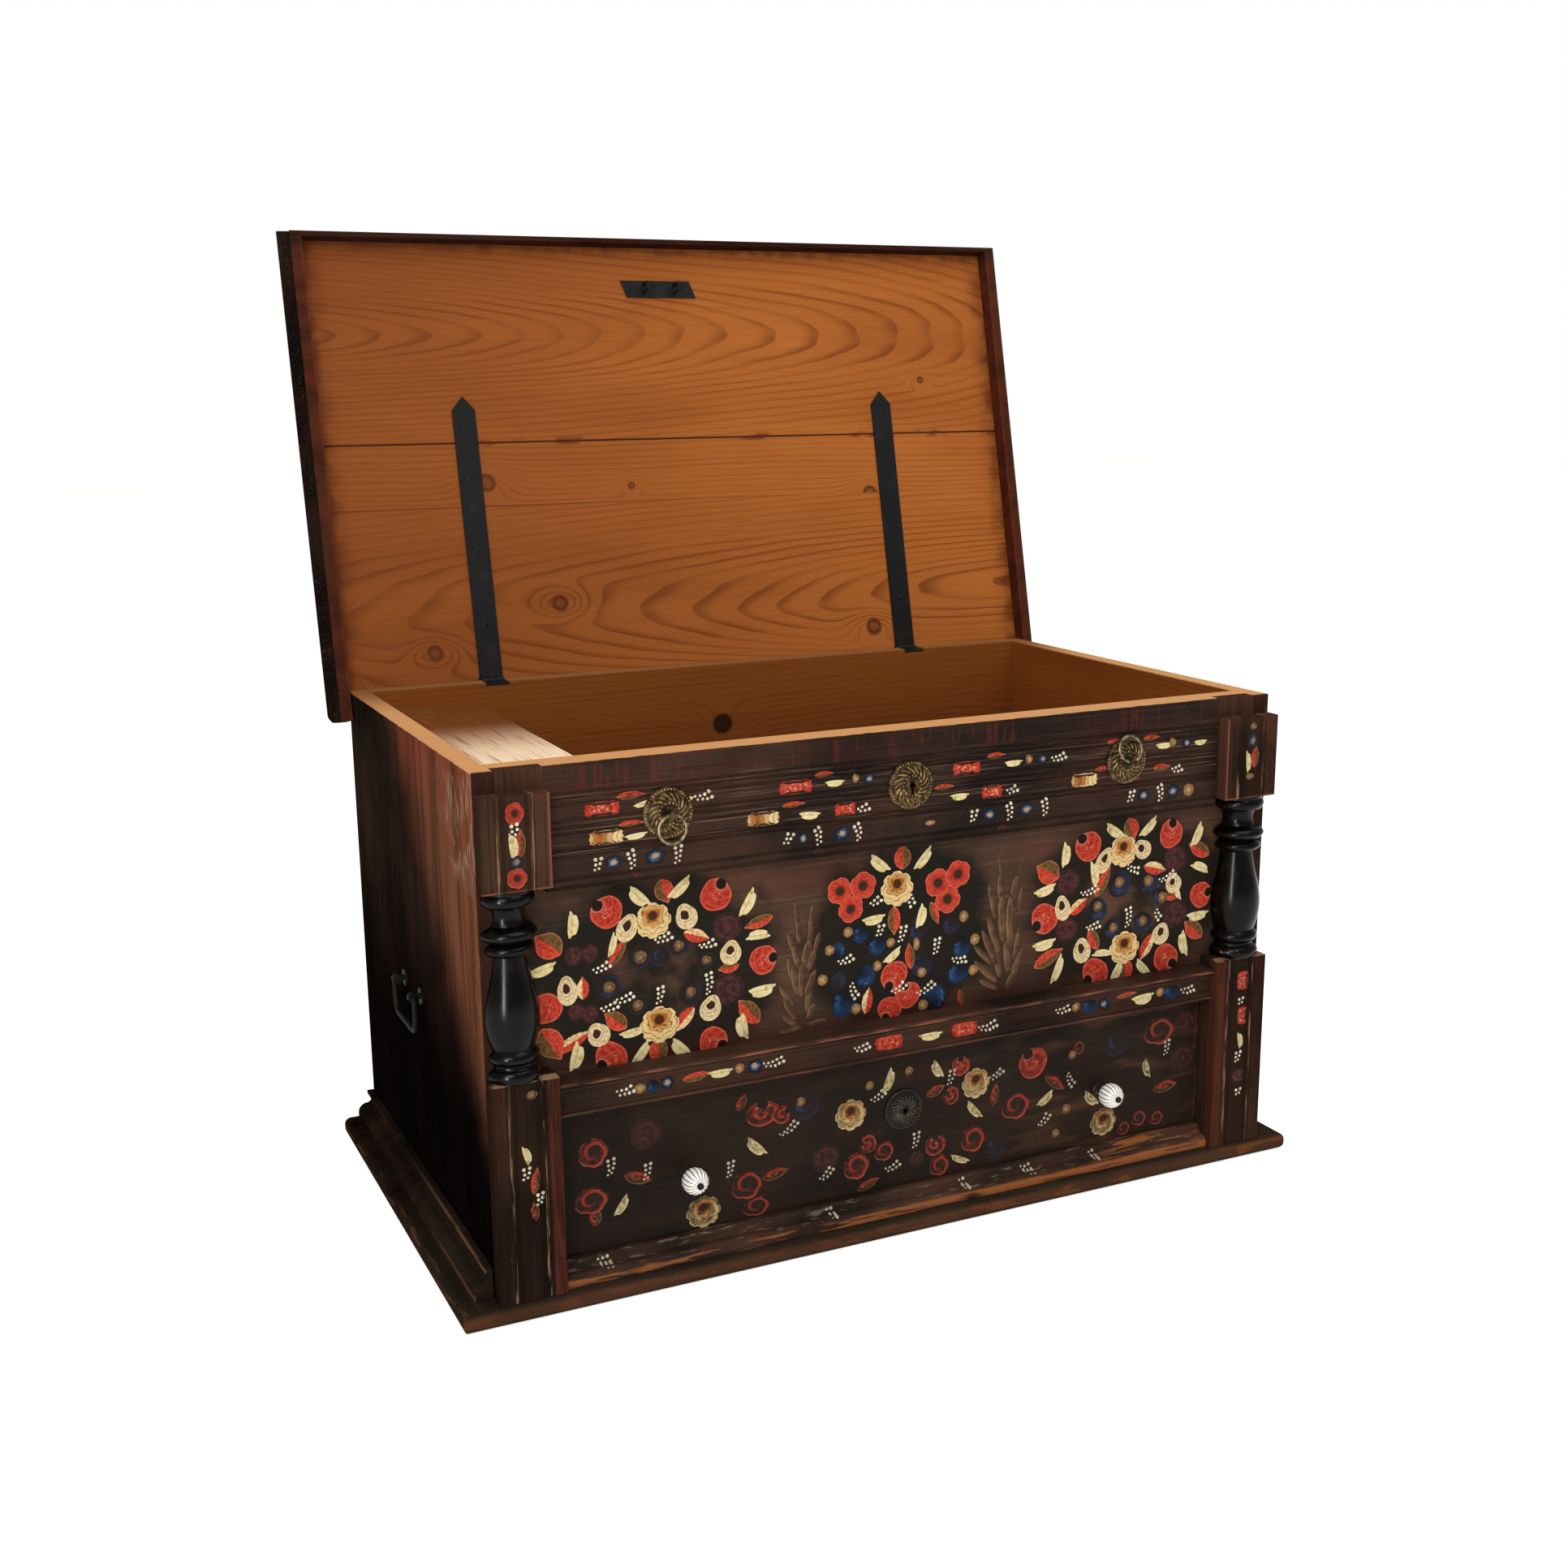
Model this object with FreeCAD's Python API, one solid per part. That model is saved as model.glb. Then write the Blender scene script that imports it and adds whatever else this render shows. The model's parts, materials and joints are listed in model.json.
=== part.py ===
import FreeCAD, Part
import os
from math import cos, radians, sin

# Mule chest with a lifting lid, a drawer below and a folk painted front.
# Millimetres, X to the right, Y to the back, Z up, origin in the middle of the base on the floor.

# Carcass boards
carcass_width = 1100.0
carcass_depth = 628.0
rim_height = 655.0
base_thickness = 24.0
base_side_projection = 45.0
base_front_projection = 24.0
base_nose_radius = 9.0
side_thickness = 25.0
back_thickness = 24.0
front_board_thickness = 24.0
chest_floor_thickness = 18.0
chest_floor_rise = 14.0
housing_depth = 6.0
housing_clearance = 0.2

# Front dressing
post_width = 82.0
stile_neck_width = 18.0
frieze_thickness = 19.0
frieze_height = 146.0
frieze_groove_radius = 2.2
frieze_groove_shares = (0.018, 0.085, 0.275, 0.315, 0.45, 0.5, 0.55, 0.68, 0.725, 0.77)
block_height = 110.0
block_drop = 25.0
block_projection = 21.0
pedestal_rise = 12.0
pedestal_projection = 19.0
flute_radius = 1.7
flute_shares = (0.235, 0.285, 0.335, 0.665, 0.715, 0.765)
margin_groove_radius = 0.8
margin_groove_shares = (0.03, 0.97)
waist_height = 42.0
waist_projection = 14.0

# Outlines of mouldings and turnings, from foot to head. A row is a corner, or a curve
# by its start, middle and end, in shares of the piece's reach and height,
# and straight lines join the rows.
waist_shares = (
    ((0.75, 0.0),),
    ((0.75, 0.08),),
    ((0.55, 0.08),),
    ((0.55, 0.16), (0.1, 0.44), (0.55, 0.72)),
    ((0.55, 0.72), (0.72, 0.785), (0.58, 0.85)),
    ((0.8, 0.85), (1.0, 0.925), (0.8, 1.0)),
)

# Split column
column_belly_radius = 34.0
column_axis_inset = 10.0
column_outset = 6.0
column_shares = (
    ((0.92, 0.0), (1.0, 0.03), (0.92, 0.06)),
    ((0.84, 0.065), (0.77, 0.082), (0.84, 0.1)),
    ((0.86, 0.1), (0.95, 0.127), (0.86, 0.154)),
    ((0.8, 0.165), (1.0, 0.305), (0.9, 0.455)),
    ((0.9, 0.455), (0.74, 0.56), (0.64, 0.655)),
    ((0.7, 0.655), (0.92, 0.69), (0.72, 0.725)),
    ((0.76, 0.73), (1.03, 0.77), (0.74, 0.81)),
    ((0.68, 0.815), (0.61, 0.865), (0.74, 0.915)),
    ((0.9, 0.92), (0.99, 0.95), (0.9, 0.98)),
    ((0.9, 1.0),),
)

# Plinth moulding along the sides
side_moulding_projection = 24.0
side_moulding_height = 38.0
side_moulding_setback = 8.0
side_moulding_shares = (
    ((1, 0),),
    ((1, 0.16), (0.8, 0.42), (0.42, 0.5)),
    ((0.42, 0.5), (0.2, 0.62), (0.26, 0.82)),
    ((0.4, 0.86),),
    ((0.4, 1),),
)

# Lid
lid_thickness = 22.0
lid_open_angle = 102.5
lid_seat_gap = 0.3
lid_stop_gap = 0.4
lid_side_gap = 1.5
lid_front_gap = 1.5
lid_joint_gap = 0.5
lid_front_joint = 340.0
lid_rear_joint = 247.0
skirt_front_width = 13.0
skirt_side_width = 29.0
skirt_drop = 24.0
skirt_tail = 5.0
skirt_tail_radius = 14.0
skirt_shares = (
    ((0.55, 0),),
    ((0.55, 0.12), (0.62, 0.28), (0.82, 0.36)),
    ((0.82, 0.42), (1, 0.62), (0.82, 0.82)),
    ((0.7, 1),),
)

# Strap hinges
hinge_spread = 684.0
strap_width = 34.0
strap_reach = 408.0
strap_point = 20.0
strap_thickness = 2.5
leaf_thickness = 2.5
leaf_gap = 0.6
knuckle_radius = 5.0
knuckle_clearance = 0.5
pin_radius = 2.5
pin_clearance = 0.05
pin_overhang = 2.0
leaf_side_clearance = 0.5
strap_nail_shares = (0.2, 0.46, 0.72, 0.92)
nail_radius = 1.6
nail_head_radius = 4.0
nail_head_height = 1.4
strap_nail_length = 20.0
leaf_nail_length = 30.0
leaf_nail_share = 0.28
nail_clearance = 0.05

# Chest lock and its keeper on the lid
lock_centre = -20.0
keeper_length = 120.0
keeper_width = 25.0
keeper_slant = 9.0
keeper_thickness = 2.5
keeper_screw_share = 0.4
screw_radius = 2.0
screw_head_radius = 4.0
screw_head_height = 1.2
screw_length = 16.0
staple_spread = 50.0
staple_depth = 22.0
staple_bar = 4.0
staple_side_share = 0.75
staple_width = 14.0
lock_case_width = 120.0
lock_case_height = 80.0
lock_case_depth = 36.0
lock_case_drop = 9.0
lock_case_plate = 2.0
lock_slot_clearance = 1.0
bolt_thickness = 6.0
bolt_bar_height = 8.0
bolt_finger_height = 6.0
bolt_finger_rise = 2.0
bolt_finger_reach = 15.0
bolt_post_width = 6.0
bolt_travel = 14.0
bolt_clearance = 0.3
keyhole_drop = 69.0
keyhole_radius = 4.5
keyhole_slot_width = 4.0
keyhole_slot_drop = 12.0

# Ring pulls and escutcheons
pull_spread = 640.0
rosette_radius = 31.0
rosette_rim = 1.5
rosette_crown = 5.0
rosette_dome_shares = (0.5, 0.75)
ring_radius = 17.0
ring_wire_radius = 2.0
ring_axis_out = 14.0
ring_post_radius = 4.8
ring_post_tip = 4.6
ring_eye_radius = 2.8
ring_up_angle = 194.0
drawer_rosette_radius = 27.5

# Side bail handles
bail_centre = 30.0
bail_height = 310.0
bail_eye_spacing = 84.0
bail_eye_length = 8.0
bail_eye_radius = 6.5
bail_eye_foot_radius = 11.0
bail_eye_foot = 2.5
bail_shank_radius = 4.0
bail_axis_out = 12.0
bail_bar_radius = 3.5
bail_pintle_radius = 2.6
bail_pintle_clearance = 0.08
bail_end_gap = 0.6
bail_drop = 46.0
bail_top_bend = 6.0
bail_bottom_bend = 16.0

# Till
till_width = 154.0
till_wall_thickness = 10.0
till_floor_thickness = 10.0
till_depth = 155.0
till_lid_thickness = 10.0
till_lid_drop = 30.0
till_lid_overhang = 6.0
till_lid_end_gap = 1.5
till_lid_seat_gap = 0.3
till_peg_radius = 4.0
till_peg_length = 8.0
till_peg_clearance = 0.08
till_pivot_inset = 10.0
till_pivot_heel = 8.0

# Drawer
drawer_opening_top = 240.0
drawer_top_gap = 4.5
drawer_side_gap = 2.0
drawer_floor_gap = 0.3
drawer_face_inset = 15.0
drawer_front_thickness = 22.0
drawer_side_thickness = 14.0
drawer_side_drop = 8.0
drawer_back_thickness = 12.0
drawer_back_drop = 14.0
drawer_rear_gap = 14.0
drawer_bottom_thickness = 8.0
drawer_bottom_rise = 10.0
drawer_groove_depth = 5.0
tail_count = 4
tail_root_share = 0.26
tail_end_share = 0.34
lip_height = 27.0
lip_reach = 28.0
lip_shares = (
    ((1, 0),),
    ((1, 0.3), (0.9, 0.52), (0.68, 0.6)),
    ((0.68, 0.6), (0.44, 0.68), (0.36, 0.88)),
    ((0.3, 1),),
)
guide_width = 20.0
guide_height = 22.0
knob_spread = 604.0
knob_height = 130.0
knob_radius = 15.5
knob_length = 46.0
knob_shares = (
    ((0.68, 0),),
    ((0.68, 0.05),),
    ((0.55, 0.08), (0.48, 0.22), (0.6, 0.38)),
    ((0.6, 0.4), (1, 0.7), (0.28, 1)),
)
knob_bolt_radius = 2.2
knob_bolt_head_radius = 4.2
knob_bolt_head_height = 2.0
knob_nut_radius = 6.0
knob_nut_height = 4.0
drawer_keyhole_height = 156.0
drawer_keyhole_radius = 3.5
drawer_keyhole_slot_width = 2.6
drawer_keyhole_slot_drop = 9.0
drawer_lock_width = 60.0
drawer_lock_height = 92.0
drawer_lock_thickness = 10.0
drawer_lock_let_in = 8.0
drawer_lock_wall = 3.0
drawer_bolt_width = 24.0
drawer_bolt_thickness = 4.0
drawer_bolt_length = 30.0
drawer_bolt_travel = 10.0
drawer_bolt_sink = 1.0
drawer_bolt_room = 1.2

# Cuts run past the faces by this much
overrun = 1.0

# Places that follow from the sizes
half_width = carcass_width / 2
inner_x = half_width - side_thickness
post_x = half_width - post_width
stile_neck_x = -inner_x + stile_neck_width
base_depth = carcass_depth + base_front_projection
base_front_y = -base_depth / 2
back_y = base_depth / 2
face_y = base_front_y + base_front_projection
panel_y = face_y + frieze_thickness
inner_front_y = panel_y + front_board_thickness
inner_back_y = back_y - back_thickness
block_top = rim_height - block_drop
block_bottom = block_top - block_height
frieze_bottom = rim_height - frieze_height
pedestal_top = drawer_opening_top + waist_height + pedestal_rise
chest_floor_height = drawer_opening_top + chest_floor_rise
till_floor_height = rim_height - till_depth
keyhole_height = rim_height - keyhole_drop
bolt_y = inner_front_y + lock_case_depth / 2
lid_underside = rim_height + lid_seat_gap
strap_bottom = lid_underside - strap_thickness
axis_z = strap_bottom - leaf_gap / 2
leaf_top = axis_z - leaf_gap / 2
leaf_bottom = leaf_top - leaf_thickness
hinge_setback = knuckle_radius + knuckle_clearance
axis_y = back_y + hinge_setback
lid_rise = lid_underside - axis_z
lid_turn = radians(lid_open_angle)
lid_heel = (lid_rise * sin(lid_turn) + hinge_setback - lid_stop_gap) / -cos(lid_turn)
lid_rear_y = axis_y + lid_heel
lid_front_y = face_y - lid_front_gap
lid_half_width = half_width + lid_side_gap
lid_top = lid_underside + lid_thickness
drawer_half_width = post_x - drawer_side_gap
drawer_low = base_thickness + drawer_floor_gap
drawer_high = drawer_opening_top - drawer_top_gap
drawer_face_y = face_y + drawer_face_inset
drawer_inner_y = drawer_face_y + drawer_front_thickness
drawer_rear_y = inner_back_y - drawer_rear_gap
across_x = FreeCAD.Vector(1, 0, 0)
along_y = FreeCAD.Vector(0, 1, 0)
up_z = FreeCAD.Vector(0, 0, 1)


def at(x, y, z):
    return FreeCAD.Vector(x, y, z)


def slab(limits):
    x0, x1, y0, y1, z0, z1 = limits
    return Part.makeBox(x1 - x0, y1 - y0, z1 - z0, at(x0, y0, z0))


def grown(limits, gap):
    x0, x1, y0, y1, z0, z1 = limits
    return (x0 - gap, x1 + gap, y0 - gap, y1 + gap, z0 - gap, z1 + gap)


def rod_x(x0, x1, y, z, radius):
    return Part.makeCylinder(radius, x1 - x0, at(x0, y, z), across_x)


def rod_y(x, y0, y1, z, radius):
    return Part.makeCylinder(radius, y1 - y0, at(x, y0, z), along_y)


def rod_z(x, y, z0, z1, radius):
    return Part.makeCylinder(radius, z1 - z0, at(x, y, z0), up_z)


def prism(points, reach):
    return Part.Face(Part.makePolygon(points + points[:1])).extrude(reach)


def line(start, end):
    return Part.LineSegment(start, end).toShape()


def arc(start, middle, end):
    return Part.Arc(start, middle, end).toShape()


def swell(start, middle, end):
    # a turner's curve through three points, which keeps its form when a turning is drawn out or squat
    curve = Part.BezierCurve()
    curve.setPoles([start, middle * 2 - (start + end) / 2, end])
    return curve.toShape()


def outline_face(rows, spot, back_points, bend=arc):
    # the rows of a table of shares, put in place by spot, closed through the back points
    edges = []
    last = back_points[-1]
    for row in rows:
        points = [spot(*pair) for pair in row]
        if last != points[0]:
            edges.append(line(last, points[0]))
        if len(points) > 1:
            edges.append(bend(*points))
        last = points[-1]
    for point in back_points:
        edges.append(line(last, point))
        last = point
    return Part.Face(Part.Wire(edges))


def mirrored(shape):
    return shape.mirror(at(0, 0, 0), across_x)


def write(node, shape):
    shape.exportStep(os.path.join("parts", node + ".step"))


def write_pair(stem, left_shape):
    write(stem + "_left", left_shape)
    write(stem + "_right", mirrored(left_shape))


# Boards that sit in grooves, as their limits
chest_floor_limits = (
    -inner_x - housing_depth,
    inner_x + housing_depth,
    inner_front_y - housing_depth,
    inner_back_y + housing_depth,
    chest_floor_height,
    chest_floor_height + chest_floor_thickness,
)
till_lid_top = rim_height - till_lid_drop
till_wall_top = till_lid_top - till_lid_thickness - till_lid_seat_gap
till_wall_outer_x = -inner_x + till_width - till_lid_overhang
till_wall_limits = (
    till_wall_outer_x - till_wall_thickness,
    till_wall_outer_x,
    inner_front_y - housing_depth,
    inner_back_y + housing_depth,
    till_floor_height,
    till_wall_top,
)
till_floor_limits = (
    -inner_x - housing_depth,
    till_wall_limits[0],
    inner_front_y - housing_depth,
    inner_back_y + housing_depth,
    till_floor_height,
    till_floor_height + till_floor_thickness,
)
till_pivot_x = -inner_x + till_pivot_inset
till_pivot_z = till_lid_top - till_lid_thickness / 2


def housing(limits):
    return slab(grown(limits, housing_clearance))


def keyhole(y0, y1, z, radius, slot_width, slot_drop):
    slot = slab((-slot_width / 2, slot_width / 2, y0, y1, z - slot_drop, z))
    return rod_y(0, y0, y1, z, radius).fuse(slot)


def chest_keyhole(y0, y1):
    return keyhole(y0, y1, keyhole_height, keyhole_radius, keyhole_slot_width, keyhole_slot_drop)


def drawer_keyhole(y0, y1):
    return keyhole(
        y0,
        y1,
        drawer_keyhole_height,
        drawer_keyhole_radius,
        drawer_keyhole_slot_width,
        drawer_keyhole_slot_drop,
    )


def till_peg_holes(y0, y1):
    return rod_y(till_pivot_x, y0, y1, till_pivot_z, till_peg_radius + till_peg_clearance)


def base_board():
    edge_x = half_width + base_side_projection
    board = slab((-edge_x, edge_x, base_front_y, back_y, 0, base_thickness))
    # the nose is rounded above and below along the front and both sides
    nose = [
        e
        for e in board.Edges
        if e.BoundBox.ZLength < overrun
        and (e.BoundBox.YMax < base_front_y + overrun or e.BoundBox.XLength < overrun)
    ]
    return board.makeFillet(base_nose_radius, nose)


def side_panel():
    panel = slab((-half_width, -inner_x, face_y, back_y, base_thickness, rim_height))
    return panel.cut([housing(chest_floor_limits), housing(till_floor_limits)])


def side_panel_right():
    panel = slab((inner_x, half_width, face_y, back_y, base_thickness, rim_height))
    return panel.cut(housing(chest_floor_limits))


def hinge_xs():
    return (-hinge_spread / 2, hinge_spread / 2)


def back_panel():
    panel = slab((-inner_x, inner_x, inner_back_y, back_y, base_thickness, rim_height))
    tools = [housing(limits) for limits in (chest_floor_limits, till_wall_limits, till_floor_limits)]
    half_notch = strap_width / 2 + leaf_side_clearance
    for x in hinge_xs():
        notch = (x - half_notch, x + half_notch, inner_back_y - overrun, back_y + overrun)
        tools.append(slab(notch + (leaf_bottom, rim_height + overrun)))
        tools.append(leaf_nail_holes(x))
    tools.append(till_peg_holes(inner_back_y - overrun, inner_back_y + till_peg_length + overrun))
    return panel.cut(tools)


def drawer_bolt_limits():
    middle_y = drawer_inner_y - drawer_lock_let_in + drawer_lock_thickness / 2
    top = drawer_high - drawer_bolt_sink
    return (
        -drawer_bolt_width / 2,
        drawer_bolt_width / 2,
        middle_y - drawer_bolt_thickness / 2,
        middle_y + drawer_bolt_thickness / 2,
        top - drawer_bolt_length,
        top,
    )


def front_board():
    board = slab((-inner_x, inner_x, panel_y, inner_front_y, drawer_opening_top, rim_height))
    tools = [housing(limits) for limits in (chest_floor_limits, till_wall_limits, till_floor_limits)]
    tools.append(chest_keyhole(panel_y - overrun, inner_front_y + overrun))
    tools.append(till_peg_holes(inner_front_y - till_peg_length - overrun, inner_front_y + overrun))
    # mortise that takes the drawer's bolt
    x0, x1, y0, y1, z0, z1 = grown(drawer_bolt_limits(), drawer_bolt_room)
    tools.append(slab((x0, x1, y0, y1, z0, z1 + drawer_bolt_travel)))
    return board.cut(tools)


def corner_stile():
    stile = slab((-inner_x, -post_x, face_y, panel_y, base_thickness, rim_height))
    # narrowed behind the column, where the panel shows beside it
    beside = (stile_neck_x, -post_x + overrun, face_y - overrun, panel_y + overrun)
    return stile.cut(slab(beside + (pedestal_top, block_bottom)))


def frieze_board():
    board = slab((-post_x, post_x, face_y, panel_y, frieze_bottom, rim_height))
    tools = [chest_keyhole(face_y - overrun, panel_y + overrun)]
    for share in frieze_groove_shares:
        z = frieze_bottom + share * frieze_height
        tools.append(rod_x(-post_x - overrun, post_x + overrun, face_y, z, frieze_groove_radius))
    return board.cut(tools)


def fluted_post(projection, z0, z1):
    front_y = face_y - projection
    body = slab((-half_width, -post_x, front_y, face_y, z0, z1))
    rows = ((flute_shares, flute_radius), (margin_groove_shares, margin_groove_radius))
    tools = []
    for shares, radius in rows:
        for share in shares:
            x = -half_width + share * post_width
            tools.append(rod_z(x, front_y, z0 - overrun, z1 + overrun, radius))
    return body.cut(tools)


def column():
    height = block_bottom - pedestal_top
    axis_x = -(half_width + post_x) / 2 - column_outset
    column_y = face_y + column_axis_inset

    def spot(radius_share, height_share):
        x = axis_x + radius_share * column_belly_radius
        return at(x, column_y, pedestal_top + height_share * height)

    face = outline_face(column_shares, spot, [spot(0, 1), spot(0, 0)], swell)
    turning = face.revolve(spot(0, 0), up_z, 360)
    reach = column_belly_radius * 2
    # the back is rebated: shallow over the stile, deep where it meets the panel
    over_stile = slab((axis_x - reach, stile_neck_x, face_y, face_y + reach, 0, rim_height))
    over_panel = slab((stile_neck_x, axis_x + reach, panel_y, panel_y + reach, 0, rim_height))
    return turning.cut([over_stile, over_panel])


def waist_moulding():
    z0 = drawer_opening_top

    def spot(out_share, height_share):
        return at(-post_x, face_y - out_share * waist_projection, z0 + height_share * waist_height)

    back_points = [at(-post_x, panel_y, z0 + waist_height), at(-post_x, panel_y, z0)]
    return outline_face(waist_shares, spot, back_points).extrude(at(2 * post_x, 0, 0))


def side_moulding():
    y0 = face_y + side_moulding_setback

    def spot(out_share, height_share):
        x = -half_width - out_share * side_moulding_projection
        return at(x, y0, base_thickness + height_share * side_moulding_height)

    face = outline_face(side_moulding_shares, spot, [spot(0, 1), spot(0, 0)])
    return face.extrude(at(0, back_y - y0, 0))


def drawer_guide():
    top = base_thickness + guide_height
    return slab((-post_x - guide_width, -post_x, panel_y, inner_back_y, base_thickness, top))


def till_lid():
    y0 = inner_front_y + till_lid_end_gap
    y1 = inner_back_y - till_lid_end_gap
    x0 = till_pivot_x - till_pivot_heel
    x1 = -inner_x + till_width
    board = slab((x0, x1, y0, y1, till_lid_top - till_lid_thickness, till_lid_top))
    pegs = rod_y(
        till_pivot_x,
        inner_front_y - till_peg_length,
        inner_back_y + till_peg_length,
        till_pivot_z,
        till_peg_radius,
    )
    return board.fuse(pegs).removeSplitter()


# The lid is drawn shut and then swung open about the hinge pins

def swung(shape):
    turned = shape.copy()
    turned.rotate(at(0, axis_y, axis_z), across_x, -lid_open_angle)
    return turned


def lid_place_y(reach):
    return back_y - reach


def knuckle_hollows():
    half = strap_width / 2 + leaf_side_clearance + pin_overhang
    radius = knuckle_radius + knuckle_clearance
    return [rod_x(x - half, x + half, axis_y, axis_z, radius) for x in hinge_xs()]


def strap_nail_places():
    length = axis_y - lid_place_y(strap_reach)
    return [(x, axis_y - share * length) for x in hinge_xs() for share in strap_nail_shares]


def strap_nail_holes():
    radius = nail_radius + nail_clearance
    top = strap_bottom + strap_nail_length + overrun
    return [rod_z(x, y, strap_bottom - overrun, top, radius) for x, y in strap_nail_places()]


def keeper_screw_places():
    half = keeper_screw_share * keeper_length
    return [(lock_centre - half, bolt_y), (lock_centre + half, bolt_y)]


def keeper_screw_holes():
    low = lid_underside - keeper_thickness - overrun
    top = low + screw_length + overrun
    return [rod_z(x, y, low, top, screw_radius + nail_clearance) for x, y in keeper_screw_places()]


def lid_board(y0, y1):
    board = slab((-lid_half_width, lid_half_width, y0, y1, lid_underside, lid_top))
    return swung(board.cut(knuckle_hollows() + strap_nail_holes() + keeper_screw_holes()))


skirt_low = lid_underside - skirt_drop
skirt_height = skirt_drop + lid_thickness
skirt_outer_x = lid_half_width + skirt_side_width
skirt_outer_y = lid_front_y - skirt_front_width
skirt_end_y = lid_rear_y + skirt_tail


def skirt_front():
    def spot(out_share, height_share):
        y = lid_front_y - out_share * skirt_front_width
        return at(-skirt_outer_x, y, skirt_low + height_share * skirt_height)

    face = outline_face(skirt_shares, spot, [spot(0, 1), spot(0, 0)])
    return face.extrude(at(2 * skirt_outer_x, 0, 0))


def skirt_side():
    def spot(out_share, height_share):
        x = -lid_half_width - out_share * skirt_side_width
        return at(x, skirt_outer_y, skirt_low + height_share * skirt_height)

    face = outline_face(skirt_shares, spot, [spot(0, 1), spot(0, 0)])
    return face.extrude(at(0, skirt_end_y - skirt_outer_y, 0))


def mitre_wedge():
    # the part of the corner that belongs to the side moulding
    low = skirt_low - overrun
    corner = at(-lid_half_width, lid_front_y, low)
    tip = at(corner.x - 2 * skirt_side_width, corner.y - 2 * skirt_front_width, low)
    heel = at(tip.x, corner.y, low)
    return prism([corner, tip, heel], at(0, 0, skirt_height + 2 * overrun))


def tail_corner():
    # what is cut from the rear end of the side moulding to round its outer corner
    low = skirt_low - overrun
    tall = skirt_height + 2 * overrun
    x0 = -skirt_outer_x
    y1 = skirt_end_y
    middle_x = x0 + skirt_tail_radius
    middle_y = y1 - skirt_tail_radius
    corner = slab((x0 - overrun, middle_x, middle_y, y1 + overrun, low, low + tall))
    return corner.cut(rod_z(middle_x, middle_y, low - overrun, low + tall + overrun, skirt_tail_radius))


def lid_moulding_front():
    wedge = mitre_wedge()
    return swung(skirt_front().cut([wedge, mirrored(wedge)]))


def lid_moulding_left():
    ahead = (
        -skirt_outer_x - overrun,
        -lid_half_width + overrun,
        skirt_outer_y - overrun,
        lid_front_y,
        skirt_low - overrun,
        lid_top + overrun,
    )
    corner = slab(ahead).cut(mitre_wedge())
    return swung(skirt_side().cut([corner, tail_corner()]))


def third(x, number):
    width = strap_width / 3
    x0 = x - strap_width / 2 + number * width
    return x0, x0 + width


def knuckle(x, number, gap):
    x0, x1 = third(x, number)
    return rod_x(x0 + gap, x1 - gap, axis_y, axis_z, knuckle_radius)


def pin_hole(x):
    half = strap_width / 2 + overrun
    return rod_x(x - half, x + half, axis_y, axis_z, pin_radius + pin_clearance)


knuckle_gap = knuckle_clearance / 2


def hinge_strap(x):
    tip_y = lid_place_y(strap_reach)
    root_y = axis_y - hinge_setback
    half = strap_width / 2
    outline = [
        at(x - half, root_y, strap_bottom),
        at(x + half, root_y, strap_bottom),
        at(x + half, tip_y + strap_point, strap_bottom),
        at(x, tip_y, strap_bottom),
        at(x - half, tip_y + strap_point, strap_bottom),
    ]
    plate = prism(outline, at(0, 0, strap_thickness))
    x0, x1 = third(x, 1)
    tongue = slab((x0 + knuckle_gap, x1 - knuckle_gap, root_y, axis_y, strap_bottom, lid_underside))
    body = plate.fuse([tongue, knuckle(x, 1, knuckle_gap)]).removeSplitter()
    return swung(body.cut([pin_hole(x)] + strap_nail_holes()))


def hinge_leaf(x):
    half = strap_width / 2
    root_y = axis_y - hinge_setback
    body = slab((x - half, x + half, inner_back_y, root_y, leaf_bottom, leaf_top))
    for number in (0, 2):
        x0, x1 = third(x, number)
        tongue = slab((x0 + knuckle_gap, x1 - knuckle_gap, root_y, axis_y, leaf_bottom, leaf_top))
        body = body.fuse([tongue, knuckle(x, number, knuckle_gap)])
    return body.removeSplitter().cut([pin_hole(x), leaf_nail_holes(x)])


def leaf_nail_places(x):
    y = (inner_back_y + back_y) / 2
    offset = leaf_nail_share * strap_width
    return [(x - offset, y), (x + offset, y)]


def leaf_nail_holes(x):
    low = leaf_top - leaf_nail_length
    radius = nail_radius + nail_clearance
    first, second = [rod_z(px, py, low, leaf_top + overrun, radius) for px, py in leaf_nail_places(x)]
    return first.fuse(second)


def hinge_leaf_nails():
    low = leaf_top - leaf_nail_length
    places = [place for x in hinge_xs() for place in leaf_nail_places(x)]
    return Part.makeCompound([rod_z(x, y, low, leaf_top, nail_radius) for x, y in places])


def hinge_pins():
    half = strap_width / 2 + pin_overhang
    return Part.makeCompound([rod_x(x - half, x + half, axis_y, axis_z, pin_radius) for x in hinge_xs()])


def headed(x, y, seat_z, length, radius, head_radius, head_height):
    shank = rod_z(x, y, seat_z, seat_z + length, radius)
    head = Part.makeCone(head_radius, radius, head_height, at(x, y, seat_z), -up_z)
    return shank.fuse(head).removeSplitter()


def strap_nails():
    nails = [
        headed(x, y, strap_bottom, strap_nail_length, nail_radius, nail_head_radius, nail_head_height)
        for x, y in strap_nail_places()
    ]
    return swung(Part.makeCompound(nails))


keeper_low = lid_underside - keeper_thickness
staple_low = keeper_low - staple_depth
staple_ys = (bolt_y - staple_width / 2, bolt_y + staple_width / 2)
staple_xs = (lock_centre - staple_spread / 2, lock_centre + staple_spread / 2)


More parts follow.
